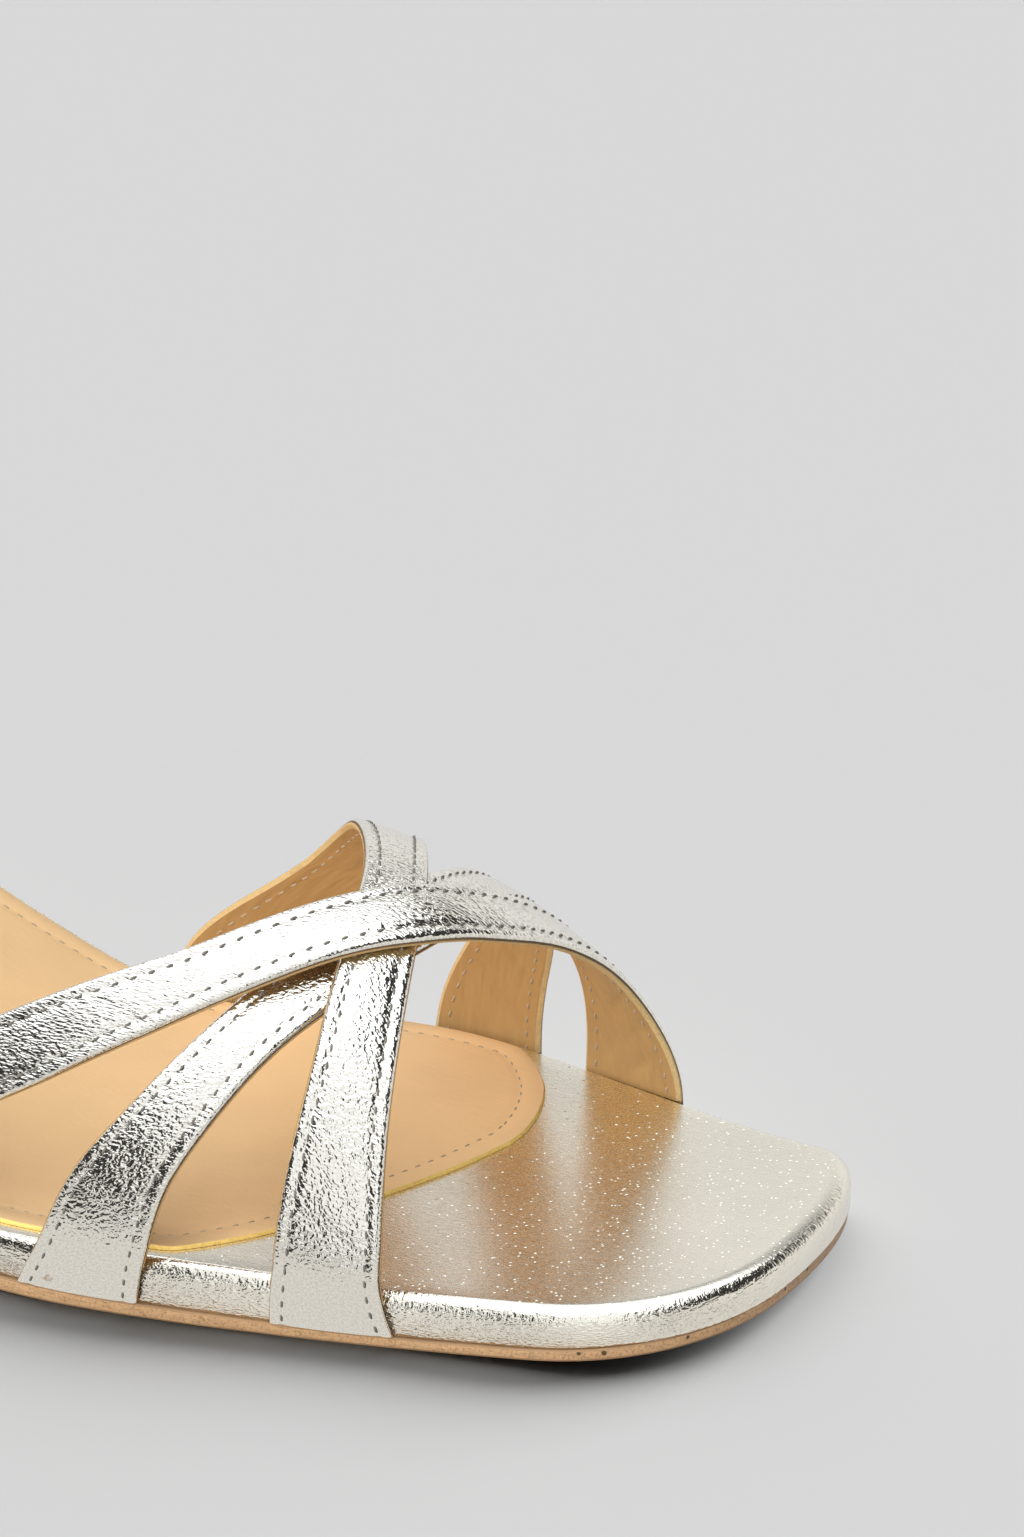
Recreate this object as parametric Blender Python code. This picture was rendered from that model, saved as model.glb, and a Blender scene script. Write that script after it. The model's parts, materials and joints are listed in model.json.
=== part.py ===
"""Open-toe mule sandal, right shoe: three crossing straps on a wrapped platform with a block heel.

Sizes are millimetres in the shoe's own frame: s runs back from the toe edge, y is positive to the
medial (inner) side, z is up from the floor. The finished shoe has +X to the toe and its origin at the
middle of its box, on the floor.
"""
import math

import bmesh
import bpy
from mathutils import Vector

MM = 0.001
GAP = 0.3                 # clearance between pieces that meet

# Driving sizes of the sole
LENGTH = 240.0            # toe edge to heel back, in plan
TOE_SPRING = 3.2          # lift of the tread at the toe edge
SPRING_LENGTH = 55.0      # the tread is flat behind this
ARCH_START = 98.0         # the tread leaves the floor here
SEAT_START = 188.0        # the arch ends and the heel seat begins here
SEAT_HEIGHT = 36.0        # tread height at the start of the heel seat
SEAT_SLOPE = 0.30         # slope of the seat at its start
BACK_SLOPE = 0.14         # slope of the seat at the heel back
OUTSOLE_CHAMFER = 0.4
OUTSOLE_TUCK = 1.0        # the outsole stops this far short of the platform at the toe edge
FOOTBED_SETBACK = 0.4     # the platform wall stands this far inside the outsole's edge
FOOTBED_EDGE_RADIUS = 1.8 # round of the platform's top edge
FOOTBED_EDGE_STEPS = 4
SOCK_THICKNESS = 0.9
SOCK_LATERAL_INSET = 3.8  # sock edge to outsole edge, outer side
SOCK_MEDIAL_INSET = 2.0   # sock edge to outsole edge, inner side

# Half widths of the sole from its long axis, toe to heel
SOLE_COLUMNS = ("s", "lateral", "medial")
SOLE_SECTIONS = (
    (0, 26.5, 31.0),
    (23, 30.5, 34.3),
    (43, 35.0, 38.4),
    (58, 38.8, 40.6),
    (73, 42.3, 41.5),
    (93, 45.0, 38.5),
    (113, 43.4, 32.3),
    (133, 38.5, 30.0),
    (158, 32.5, 27.5),
    (187, 29.2, 27.5),
    (214, 28.6, 28.6),
    (240, 28.4, 28.4),
)
LATERAL_CORNER = (25.0, 2.3)   # length and squareness of the toe's outer corner
MEDIAL_CORNER = (12.5, 2.2)    # the same at the inner corner
HEEL_ROUND = 29.0              # length of the rounded heel end
SOLE_STEPS = (12, 34, 10)      # sections at the toe, along the middle and round the heel

LAYER_COLUMNS = ("s", "outsole", "platform")
LAYER_SECTIONS = (
    (0, 1.9, 5.0),
    (40, 1.6, 5.9),
    (75, 2.0, 6.4),
    (110, 2.2, 5.3),
    (240, 2.5, 4.5),
)

# Front arc of the sock: half widths where it narrows to its tip
SOCK_COLUMNS = ("s", "lateral", "medial")
SOCK_FRONT = (
    (50.6, -13.0, 17.0),
    (51.2, -10.5, 20.5),
    (52.5, -5.0, 25.0),
    (54.5, 1.5, 29.5),
    (57.0, 8.5, 33.0),
    (60.0, 16.0, 36.3),
    (63.5, 24.5, 39.0),
    (70.0, 34.5, 42.0),
    (78.0, 42.0, 44.0),
)
SOCK_STEPS = (1, 36, 10)

# The form that the straps lie on: height over the footbed along the foot
LAST_COLUMNS = ("s", "height")
LAST_SECTIONS = ((30, 16), (44, 28.4), (55, 35.4), (80, 41.6), (105, 48.0), (135, 54.0))
LAST_CLEARANCE = 0.4      # strap lining to platform wall
LATERAL_SHAPE = (1.0, 1.0)     # powers of the section's width and height, outer side
MEDIAL_SHAPE = (1.0, 0.85)     # the same on the inner side
SHAPE_BLEND = (66.0, 114.0)    # girth angles between which one passes into the other
PROBE = 0.5               # step along the form for measuring its slope
PROBE_GIRTH = 1.0         # the same around it, in degrees

# Straps: where their front and rear edges cross each girth angle of the foot
# (0 is the outer edge of the footbed, 90 the top of the foot, 180 the inner edge; the first and
# last rows are the feet of the legs, on the outsole)
STRAP_THICKNESS = 1.8
STRAP_EDGE_DROP = 0.6     # how much lower the rolled edges are than the strap's face
STRAP_EDGE_WIDTH = 0.12   # width of each rolled edge, as a share of the strap
STRAP_CROWN = 0.25        # how much the middle of the strap stands proud
STRAP_STEP = 4.5          # degrees of girth between cross sections
LINING_PLACES = (0.0, 0.25, 0.5, 0.75, 1.0)   # points across a strap, front to rear
FACE_PLACES = (1 - STRAP_EDGE_WIDTH, 0.7, 0.5, 0.3, STRAP_EDGE_WIDTH)
STRAP_COLUMNS = ("girth", "front", "rear")
STRAPS = {
    "outer_rear_to_inner_front": {
        "lift": 3.0,
        "fall": (86.0, 114.0),
        "edges": ((-8, 114.6, 134.4), (0, 113.1, 131.4), (15, 106.4, 123.7), (30, 91, 107.9),
                  (45, 77.2, 92.3), (60, 64.9, 77.8), (75, 55.9, 67.2), (90, 50.3, 60.4), (120, 45.4, 54.4),
                  (150, 42.2, 53.4), (180, 37.8, 53.9), (188, 37.4, 54.4)),
    },
    "outer_middle_to_inner_middle": {
        "lift": 0.0,
        "fall": (115.0, 150.0),
        "edges": ((-8, 76.6, 94), (0, 75.2, 90.7), (15, 72.6, 85.8), (30, 68, 79.1), (45, 63.4, 73.4),
                  (60, 58.8, 68.8), (75, 55.6, 65.2), (90, 54, 63.4), (120, 54.4, 64), (150, 57, 67.8),
                  (180, 61.9, 78.2), (188, 61.6, 78.9)),
    },
    "outer_front_to_inner_rear": {
        "lift": 1.5,
        "fall": (115.0, 150.0),
        "edges": ((-8, 43.4, 58.8), (0, 43.6, 58), (15, 44, 57.6), (30, 45.5, 57.6), (45, 47.8, 58.3),
                  (60, 50.7, 60.2), (75, 54.1, 62.9), (90, 58.1, 66.7), (120, 68.8, 79.4), (150, 80.6, 93.8),
                  (180, 98.1, 115.4), (188, 98.6, 116.4)),
    },
}
LIFT_RISE = (35.0, 70.0)  # girth where a lifted strap climbs onto the ones below

# Block heel
HEEL_BREAST = 192.0       # front face of the heel
HEEL_INSET = 1.0          # heel wall to outsole edge, at the seat
HEEL_FOOT_SCALE = 0.84    # size of the heel's foot beside its seat
HEEL_CENTRE = 217.0
HEEL_RINGS = 7
HEEL_SIDE_STEP = 5.0      # distance between sections along the heel's straight sides
HEEL_STEPS = (1, 1, 10)
HEEL_WAIST = 0.035        # how much the heel's sides draw in, as a share of its width
TIP_THICKNESS = 5.0
TIP_CHAMFER = 0.5

SHARP_ANGLE = 35.0        # degrees between faces that keep a crisp edge

FINISHES = {
    "outsole": {"color": (0.52, 0.33, 0.18, 1.0), "roughness": 0.65, "metallic": 0.0},
    "footbed": {"color": (0.80, 0.74, 0.62, 1.0), "roughness": 0.32, "metallic": 0.9},
    "insole": {"color": (0.76, 0.53, 0.30, 1.0), "roughness": 0.5, "metallic": 0.0},
    "upper": {"color": (0.80, 0.77, 0.70, 1.0), "roughness": 0.28, "metallic": 0.9},
    "heel": {"color": (0.80, 0.74, 0.62, 1.0), "roughness": 0.32, "metallic": 0.9},
    "heel_tip": {"color": (0.05, 0.04, 0.035, 1.0), "roughness": 0.6, "metallic": 0.0},
}


# Curves through tables
def column(rows, columns, name):
    index = columns.index(name)
    return [row[index] for row in rows]


def curve_through(xs, ys):
    """A smooth curve through a table's points, with slopes from each point's two neighbours."""
    ending = len(xs) - 1
    steps = [(ys[i + 1] - ys[i]) / (xs[i + 1] - xs[i]) for i in range(ending)]
    slopes = [steps[0]]
    for i in range(1, ending):
        before = xs[i] - xs[i - 1]
        after = xs[i + 1] - xs[i]
        slopes.append((steps[i - 1] * after + steps[i] * before) / (before + after))
    slopes.append(steps[-1])

    def value(x):
        x = min(max(x, xs[0]), xs[-1])
        i = 0
        while i < ending - 1 and x > xs[i + 1]:
            i += 1
        width = xs[i + 1] - xs[i]
        t = (x - xs[i]) / width
        rise = t * t * (3 - 2 * t)
        swing = slopes[i] * (t ** 3 - 2 * t * t + t) + slopes[i + 1] * (t ** 3 - t * t)
        return ys[i] + (ys[i + 1] - ys[i]) * rise + width * swing

    return value


def smooth_step(x, start, end):
    t = min(max((x - start) / (end - start), 0.0), 1.0)
    return t * t * (3 - 2 * t)


def table_curve(rows, columns, name):
    return curve_through(column(rows, columns, columns[0]), column(rows, columns, name))


lateral_width = table_curve(SOLE_SECTIONS, SOLE_COLUMNS, "lateral")
medial_width = table_curve(SOLE_SECTIONS, SOLE_COLUMNS, "medial")
outsole_thickness = table_curve(LAYER_SECTIONS, LAYER_COLUMNS, "outsole")
platform_thickness = table_curve(LAYER_SECTIONS, LAYER_COLUMNS, "platform")
last_height = table_curve(LAST_SECTIONS, LAST_COLUMNS, "height")
sock_front_lateral = table_curve(SOCK_FRONT, SOCK_COLUMNS, "lateral")
sock_front_medial = table_curve(SOCK_FRONT, SOCK_COLUMNS, "medial")


# Side profile and outline of the sole
def tread_height(s):
    """Height of the outsole's underside over the floor."""
    span = SEAT_START - ARCH_START
    t = min(max((s - ARCH_START) / span, 0.0), 1.0)
    arch = SEAT_HEIGHT * t * t * (3 - 2 * t) + SEAT_SLOPE * span * (t ** 3 - t * t)
    back = max(s - SEAT_START, 0.0)
    bend = (BACK_SLOPE - SEAT_SLOPE) / (2 * (LENGTH - SEAT_START))
    spring = max((SPRING_LENGTH - s) / SPRING_LENGTH, 0.0)
    return arch + SEAT_SLOPE * back + bend * back * back + TOE_SPRING * spring * spring


def outsole_top(s):
    return tread_height(s) + outsole_thickness(s)


def footbed_top(s):
    return outsole_top(s) + GAP + platform_thickness(s)


def corner(s, length, power):
    """Share of the full half width that a rounded toe corner leaves at s."""
    t = min(max((length - s) / length, 0.0), 1.0)
    return (1 - t ** power) ** (1 / power)


def heel_end(s):
    t = min(max((s - LENGTH + HEEL_ROUND) / HEEL_ROUND, 0.0), 1.0)
    return math.sqrt(max(1 - t * t, 0.0))


def lateral_edge(s):
    return -lateral_width(s) * corner(s, *LATERAL_CORNER) * heel_end(s)


def medial_edge(s):
    return medial_width(s) * corner(s, *MEDIAL_CORNER) * heel_end(s)


def stations(start, end, toe_steps, middle_steps, heel_steps):
    """Places along the sole, closer together where the ends are round."""
    toe_end = max(start, SPRING_LENGTH)
    heel_start = LENGTH - HEEL_ROUND
    places = []
    for i in range(toe_steps):
        places.append(toe_end - (toe_end - start) * math.cos(math.pi / 2 * (i + 0.35) / toe_steps))
    for i in range(middle_steps):
        places.append(toe_end + (heel_start - toe_end) * i / middle_steps)
    for i in range(heel_steps):
        places.append(heel_start + (end - heel_start) * math.sin(math.pi / 2 * i / (heel_steps - 0.65)))
    return places


def inset_ring(ring, distance):
    """A closed plan outline drawn in by a distance along its own normals."""
    count = len(ring)
    moved = []
    for i, (s, y) in enumerate(ring):
        before = ring[i - 1]
        after = ring[(i + 1) % count]
        along_s = after[0] - before[0]
        along_y = after[1] - before[1]
        length = math.hypot(along_s, along_y)
        moved.append((s - along_y / length * distance, y + along_s / length * distance))
    return moved


# Solids from rings
def ruled_solid(rings):
    """A solid between stacked rings: each ring runs down the outer side and back up the inner side."""
    mesh = bmesh.new()
    layers = [[mesh.verts.new(point) for point in ring] for ring in rings]
    count = len(layers[0])
    for below, above in zip(layers, layers[1:]):
        for i in range(count):
            j = (i + 1) % count
            mesh.faces.new((below[i], below[j], above[j], above[i]))
    for layer in (layers[0], layers[-1]):
        for i in range(count // 2 - 1):
            mesh.faces.new((layer[i], layer[i + 1], layer[count - 2 - i], layer[count - 1 - i]))
    bmesh.ops.recalc_face_normals(mesh, faces=mesh.faces)
    return mesh


def raised(ring, height):
    return [(-s, y, height(s)) for s, y in ring]


def sole_ring(places):
    outer = [(s, lateral_edge(s)) for s in places]
    inner = [(s, medial_edge(s)) for s in reversed(places)]
    return outer + inner


def outsole_mesh():
    ring = []
    for s, y in sole_ring(stations(0.0, LENGTH, *SOLE_STEPS)):
        tuck = max(1 - s / SPRING_LENGTH, 0.0)
        ring.append((s + OUTSOLE_TUCK * tuck * tuck, y))
    return ruled_solid([
        raised(inset_ring(ring, OUTSOLE_CHAMFER), tread_height),
        raised(ring, lambda s: tread_height(s) + OUTSOLE_CHAMFER),
        raised(ring, outsole_top),
    ])


def footbed_mesh():
    ring = sole_ring(stations(0.0, LENGTH, *SOLE_STEPS))
    layers = [
        raised(inset_ring(ring, FOOTBED_SETBACK + GAP), lambda s: outsole_top(s) + GAP),
        raised(inset_ring(ring, FOOTBED_SETBACK), lambda s: outsole_top(s) + 2 * GAP),
    ]
    for step in range(FOOTBED_EDGE_STEPS + 1):
        turn = math.pi / 2 * step / FOOTBED_EDGE_STEPS
        inset = FOOTBED_SETBACK + FOOTBED_EDGE_RADIUS * (1 - math.cos(turn))
        drop = FOOTBED_EDGE_RADIUS * (1 - math.sin(turn))
        layers.append(raised(inset_ring(ring, inset), lambda s, drop=drop: footbed_top(s) - drop))
    return ruled_solid(layers)


def sock_ring():
    """Plan outline of the sock: its front arc, then a margin inside the sole's edge."""
    tip = SOCK_FRONT[0][0]
    front_end = SOCK_FRONT[-1][0]
    back = LENGTH - SOCK_LATERAL_INSET
    places = column(SOCK_FRONT, SOCK_COLUMNS, "s")[:-1]
    places += [s for s in stations(tip, back, *SOCK_STEPS) if s > front_end]
    scale = (LENGTH - tip) / (back - tip)
    outer = []
    inner = []
    for s in places:
        edge = tip + (s - tip) * scale if s > LENGTH - HEEL_ROUND else s
        lateral = -lateral_edge(edge) - SOCK_LATERAL_INSET * heel_end(edge)
        medial = medial_edge(edge) - SOCK_MEDIAL_INSET * heel_end(edge)
        if s < front_end:
            lateral = min(lateral, sock_front_lateral(s))
            medial = min(medial, sock_front_medial(s))
        outer.append((s, -lateral))
        inner.append((s, medial))
    return outer + inner[::-1]


def insole_mesh():
    ring = sock_ring()
    return ruled_solid([
        raised(ring, lambda s: footbed_top(s) + GAP),
        raised(ring, lambda s: footbed_top(s) + GAP + SOCK_THICKNESS),
    ])


# The form of the foot and the straps on it
def last_point(s, girth):
    """A point of the form over the footbed, at a girth angle in degrees."""
    turn = math.radians(min(max(girth, 0.0), 180.0))
    side = smooth_step(girth, *SHAPE_BLEND)
    width_power = LATERAL_SHAPE[0] + (MEDIAL_SHAPE[0] - LATERAL_SHAPE[0]) * side
    height_power = LATERAL_SHAPE[1] + (MEDIAL_SHAPE[1] - LATERAL_SHAPE[1]) * side
    wall = LAST_CLEARANCE - FOOTBED_SETBACK
    outer = -lateral_width(s) - wall
    inner = medial_width(s) + wall
    across = math.copysign(abs(math.cos(turn)) ** width_power, math.cos(turn))
    y = (outer + inner) / 2 - (inner - outer) / 2 * across
    z = footbed_top(s) + last_height(s) * max(math.sin(turn), 0.0) ** height_power
    return (-s, y, z)


def last_normal(s, girth):
    """Outward direction of the form; the strap's legs keep the one at the footbed's edge."""
    girth = min(max(girth, PROBE_GIRTH), 180.0 - PROBE_GIRTH)
    along = Vector(last_point(s + PROBE, girth)) - Vector(last_point(s - PROBE, girth))
    around = Vector(last_point(s, girth + PROBE_GIRTH)) - Vector(last_point(s, girth - PROBE_GIRTH))
    return around.cross(along).normalized()


def strap_lift(strap, girth):
    share = smooth_step(girth, *LIFT_RISE) * (1 - smooth_step(girth, *strap["fall"]))
    return strap["lift"] * share


def strap_section(strap, front, rear, girth, foot):
    """One cross section: the lining from front to rear, then the face back from rear to front."""
    lift = strap_lift(strap, girth)
    face = STRAP_THICKNESS
    lining = [(t, 0.0) for t in LINING_PLACES]
    outside = [(1.0, face - STRAP_EDGE_DROP)]
    for t in FACE_PLACES:
        outside.append((t, face + STRAP_CROWN * (1 - (2 * t - 1) ** 2)))
    outside.append((0.0, face - STRAP_EDGE_DROP))
    points = []
    for t, height in lining + outside:
        s = front + (rear - front) * t
        point = Vector(last_point(s, girth))
        if foot:
            point.z = outsole_top(s) + GAP
        points.append(point + last_normal(s, girth) * (lift + height))
    return points


def strap_mesh(strap):
    front = table_curve(strap["edges"], STRAP_COLUMNS, "front")
    rear = table_curve(strap["edges"], STRAP_COLUMNS, "rear")
    steps = round(180.0 / STRAP_STEP)
    girths = column(strap["edges"], STRAP_COLUMNS, "girth")
    rows = [(girths[0], True)]
    rows += [(STRAP_STEP * i, False) for i in range(steps + 1)]
    rows += [(girths[-1], True)]
    mesh = bmesh.new()
    layers = []
    for girth, foot in rows:
        section = strap_section(strap, front(girth), rear(girth), girth, foot)
        layers.append([mesh.verts.new(point) for point in section])
    count = len(layers[0])
    for below, above in zip(layers, layers[1:]):
        for i in range(count):
            j = (i + 1) % count
            mesh.faces.new((below[i], below[j], above[j], above[i]))
    mesh.faces.new(layers[0])
    mesh.faces.new(layers[-1])
    bmesh.ops.recalc_face_normals(mesh, faces=mesh.faces)
    return mesh


# Block heel
def heel_rings(scales):
    """Plan outlines of the heel, each scaled about the heel's centre."""
    straight = LENGTH - HEEL_ROUND - HEEL_BREAST
    places = [HEEL_BREAST + HEEL_SIDE_STEP * i for i in range(int(straight / HEEL_SIDE_STEP) + 1)]
    places += [s for s in stations(HEEL_BREAST, LENGTH, *HEEL_STEPS) if s > places[-1] + HEEL_SIDE_STEP / 2]
    outline = inset_ring(sole_ring(places), HEEL_INSET)
    rings = []
    for scale in scales:
        rings.append([(s, HEEL_CENTRE + (s - HEEL_CENTRE) * scale, y * scale) for s, y in outline])
    return rings


def heel_scale(share):
    """Size of the heel at a share of the way from seat to foot."""
    return 1 + (HEEL_FOOT_SCALE - 1) * share - HEEL_WAIST * math.sin(math.pi * share)


def heel_mesh():
    foot = TIP_THICKNESS + GAP
    shares = [i / (HEEL_RINGS - 1) for i in range(HEEL_RINGS)]
    layers = []
    for share, ring in zip(shares, heel_rings([heel_scale(share) for share in shares])):
        layers.append([
            (-s, y, foot + (tread_height(seat) - GAP - foot) * (1 - share))
            for seat, s, y in ring
        ])
    return ruled_solid(layers)


def heel_tip_mesh():
    scale = heel_scale(1.0)
    slim = scale * (1 - TIP_CHAMFER / HEEL_ROUND)
    top, low, floor = heel_rings((scale, scale, slim))
    return ruled_solid([
        [(-s, y, TIP_THICKNESS) for seat, s, y in top],
        [(-s, y, TIP_CHAMFER) for seat, s, y in low],
        [(-s, y, 0.0) for seat, s, y in floor],
    ])


# Objects
def finish(name):
    material = bpy.data.materials.new(name)
    material.use_nodes = True
    shader = material.node_tree.nodes["Principled BSDF"]
    values = FINISHES[name]
    shader.inputs["Base Color"].default_value = values["color"]
    shader.inputs["Roughness"].default_value = values["roughness"]
    shader.inputs["Metallic"].default_value = values["metallic"]
    material.diffuse_color = values["color"]
    return material


def add_object(name, mesh, shift):
    for vertex in mesh.verts:
        vertex.co = [(vertex.co[i] + shift[i]) * MM for i in range(3)]
    data = bpy.data.meshes.new(name)
    mesh.to_mesh(data)
    mesh.free()
    data.shade_smooth()
    data.set_sharp_from_angle(angle=math.radians(SHARP_ANGLE))
    item = bpy.data.objects.new(name, data)
    bpy.context.scene.collection.objects.link(item)
    return item


def add_upper(meshes, shift):
    """The straps as one body: each further strap is united with the first."""
    names = list(meshes)
    upper = add_object("upper", meshes[names[0]], shift)
    for name in names[1:]:
        strap = add_object("strap_" + name, meshes[name], shift)
        strap.hide_render = True
        strap.display_type = "WIRE"
        union = upper.modifiers.new("join_" + name, "BOOLEAN")
        union.operation = "UNION"
        union.solver = "EXACT"
        union.object = strap
    return upper


def box_shift(meshes):
    """The move that brings the middle of the box's floor to the origin."""
    low = [min(v.co[i] for mesh in meshes for v in mesh.verts) for i in range(3)]
    high = [max(v.co[i] for mesh in meshes for v in mesh.verts) for i in range(3)]
    return (-(low[0] + high[0]) / 2, -(low[1] + high[1]) / 2, -low[2])


def main():
    for item in list(bpy.data.objects):
        bpy.data.objects.remove(item, do_unlink=True)
    pieces = {
        "outsole": outsole_mesh(),
        "footbed": footbed_mesh(),
        "insole": insole_mesh(),
        "heel": heel_mesh(),
        "heel_tip": heel_tip_mesh(),
    }
    straps = {name: strap_mesh(strap) for name, strap in STRAPS.items()}
    shift = box_shift(list(pieces.values()) + list(straps.values()))
    shoe = bpy.data.objects.new("shoe", None)
    bpy.context.scene.collection.objects.link(shoe)
    solids = [add_object(name, mesh, shift) for name, mesh in pieces.items()]
    solids.append(add_upper(straps, shift))
    for solid in solids:
        solid.data.materials.append(finish(solid.name))
        solid.parent = shoe


main()
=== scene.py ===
"""Looks of an open-toe mule sandal: foil leather straps on a wrapped platform, tan sock and block heel.

Sizes in the tables are millimetres in the shoe's own frame: s runs back from the toe edge, y is positive
to the inner side, z is up from the floor, and a point is (-s, y, z). Pieces stand in the frame's metres.
"""
import json
import math

import bmesh
import bpy
import numpy as np
from bpy.props import FloatProperty, FloatVectorProperty, PointerProperty
from mathutils import Matrix, Vector

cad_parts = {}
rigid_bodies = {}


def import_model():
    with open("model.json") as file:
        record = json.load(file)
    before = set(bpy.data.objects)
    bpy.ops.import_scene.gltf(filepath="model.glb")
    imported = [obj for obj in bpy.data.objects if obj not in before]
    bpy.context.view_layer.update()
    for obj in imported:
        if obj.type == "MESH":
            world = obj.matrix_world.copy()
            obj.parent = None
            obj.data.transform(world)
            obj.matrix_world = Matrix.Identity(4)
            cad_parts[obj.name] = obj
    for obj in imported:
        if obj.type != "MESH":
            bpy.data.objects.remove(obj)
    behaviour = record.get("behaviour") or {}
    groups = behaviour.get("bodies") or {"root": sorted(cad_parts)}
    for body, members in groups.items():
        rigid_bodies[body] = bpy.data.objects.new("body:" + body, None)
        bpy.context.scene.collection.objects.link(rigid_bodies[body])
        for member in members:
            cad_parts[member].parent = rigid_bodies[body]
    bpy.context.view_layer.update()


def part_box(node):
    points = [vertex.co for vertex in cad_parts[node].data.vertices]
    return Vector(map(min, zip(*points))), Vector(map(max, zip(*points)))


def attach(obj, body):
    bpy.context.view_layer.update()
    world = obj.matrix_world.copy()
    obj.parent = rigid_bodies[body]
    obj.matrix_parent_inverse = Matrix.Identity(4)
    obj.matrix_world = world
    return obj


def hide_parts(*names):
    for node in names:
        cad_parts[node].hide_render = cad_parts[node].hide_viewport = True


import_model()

bl_info = {
    "name": "Open-toe sandal looks",
    "version": (1, 0, 0),
    "blender": (4, 5, 0),
    "location": "3D View > Sidebar > Sandal",
    "description": "Dresses the sandal's solids in foil leather, lining, thread and sole leather",
    "category": "Object",
}

MM = 0.001
BODY = "root"

# Sole: side profile, half widths and layers, as the solids have them
GAP = 0.3
LENGTH = 240.0
TOE_SPRING = 3.2
SPRING_LENGTH = 55.0
ARCH_START = 98.0
SEAT_START = 188.0
SEAT_HEIGHT = 36.0
SEAT_SLOPE = 0.30
BACK_SLOPE = 0.14
OUTSOLE_TUCK = 1.0
OUTSOLE_CHAMFER = 0.4
OUTSOLE_LOW_ROUND = 0.3        # shares of the chamfer at the tread and at the top
OUTSOLE_TOP_ROUND = 0.5
FOOTBED_SETBACK = 0.4
SOCK_RISE = 0.65               # top of the sock over the platform
SOCK_LATERAL_INSET = 3.8
SOCK_MEDIAL_INSET = 2.0
SOLE_COLUMNS = ("s", "lateral", "medial")
SOLE_SECTIONS = (
    (0, 26.5, 31.0),
    (23, 30.5, 34.3),
    (43, 35.0, 38.4),
    (58, 38.8, 40.6),
    (73, 42.3, 41.5),
    (93, 45.0, 38.5),
    (113, 43.4, 32.3),
    (133, 38.5, 30.0),
    (158, 32.5, 27.5),
    (187, 29.2, 27.5),
    (214, 28.6, 28.6),
    (240, 28.4, 28.4),
)
LATERAL_CORNER = (25.0, 2.3)
MEDIAL_CORNER = (12.5, 2.2)
HEEL_ROUND = 29.0
LAYER_COLUMNS = ("s", "outsole", "platform")
LAYER_SECTIONS = (
    (0, 1.9, 5.0),
    (40, 1.6, 5.9),
    (75, 2.0, 6.4),
    (110, 2.2, 5.3),
    (240, 2.5, 4.5),
)
RIM_COLUMNS = ("s", "outer_inset", "outer_drop", "inner_inset", "inner_drop")
RIM_SECTIONS = (               # round of the platform's top edge, on its outer and its inner side
    (0, 3.0, 2.4, 3.0, 2.4),
    (12, 2.7, 2.7, 2.6, 2.1),
    (28, 2.3, 2.9, 1.9, 1.9),
    (240, 2.3, 2.9, 1.9, 1.9),
)
RIM_STEPS = 14
SOLE_STEPS = (48, 90, 30)      # sections at the toe, along the middle and round the heel
TOE_ARC_START = 0.35           # where the first section lies, as a share of the first step
HEEL_ARC_CUT = 0.65            # how far the last section stays short of the end, as a share of a step
CAP_COLUMNS = 24               # faces across the platform and the sock

# Front arc of the sock
SOCK_COLUMNS = ("s", "lateral", "medial")
SOCK_FRONT = (
    (50.6, -13.0, 17.0),
    (51.2, -10.5, 20.5),
    (52.5, -5.0, 25.0),
    (54.5, 1.5, 29.5),
    (57.0, 8.5, 33.0),
    (60.0, 16.0, 36.3),
    (63.5, 24.5, 39.0),
    (70.0, 34.5, 42.0),
    (78.0, 42.0, 44.0),
)
SOCK_FRONT_STEPS = 36

# The form that the straps lie on
LAST_COLUMNS = ("s", "height")
LAST_SECTIONS = ((30, 16), (44, 28.4), (55, 35.4), (80, 41.6), (105, 48.0), (135, 54.0))
LAST_CLEARANCE = 0.4
LATERAL_SHAPE = (1.0, 1.0)
MEDIAL_SHAPE = (1.0, 0.85)
SHAPE_BLEND = (66.0, 114.0)
FOOT_GIRTH = 8.0               # the strap legs below the footbed's edge, as degrees of girth
PROBE = 0.5
PROBE_GIRTH = 1.0

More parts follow.
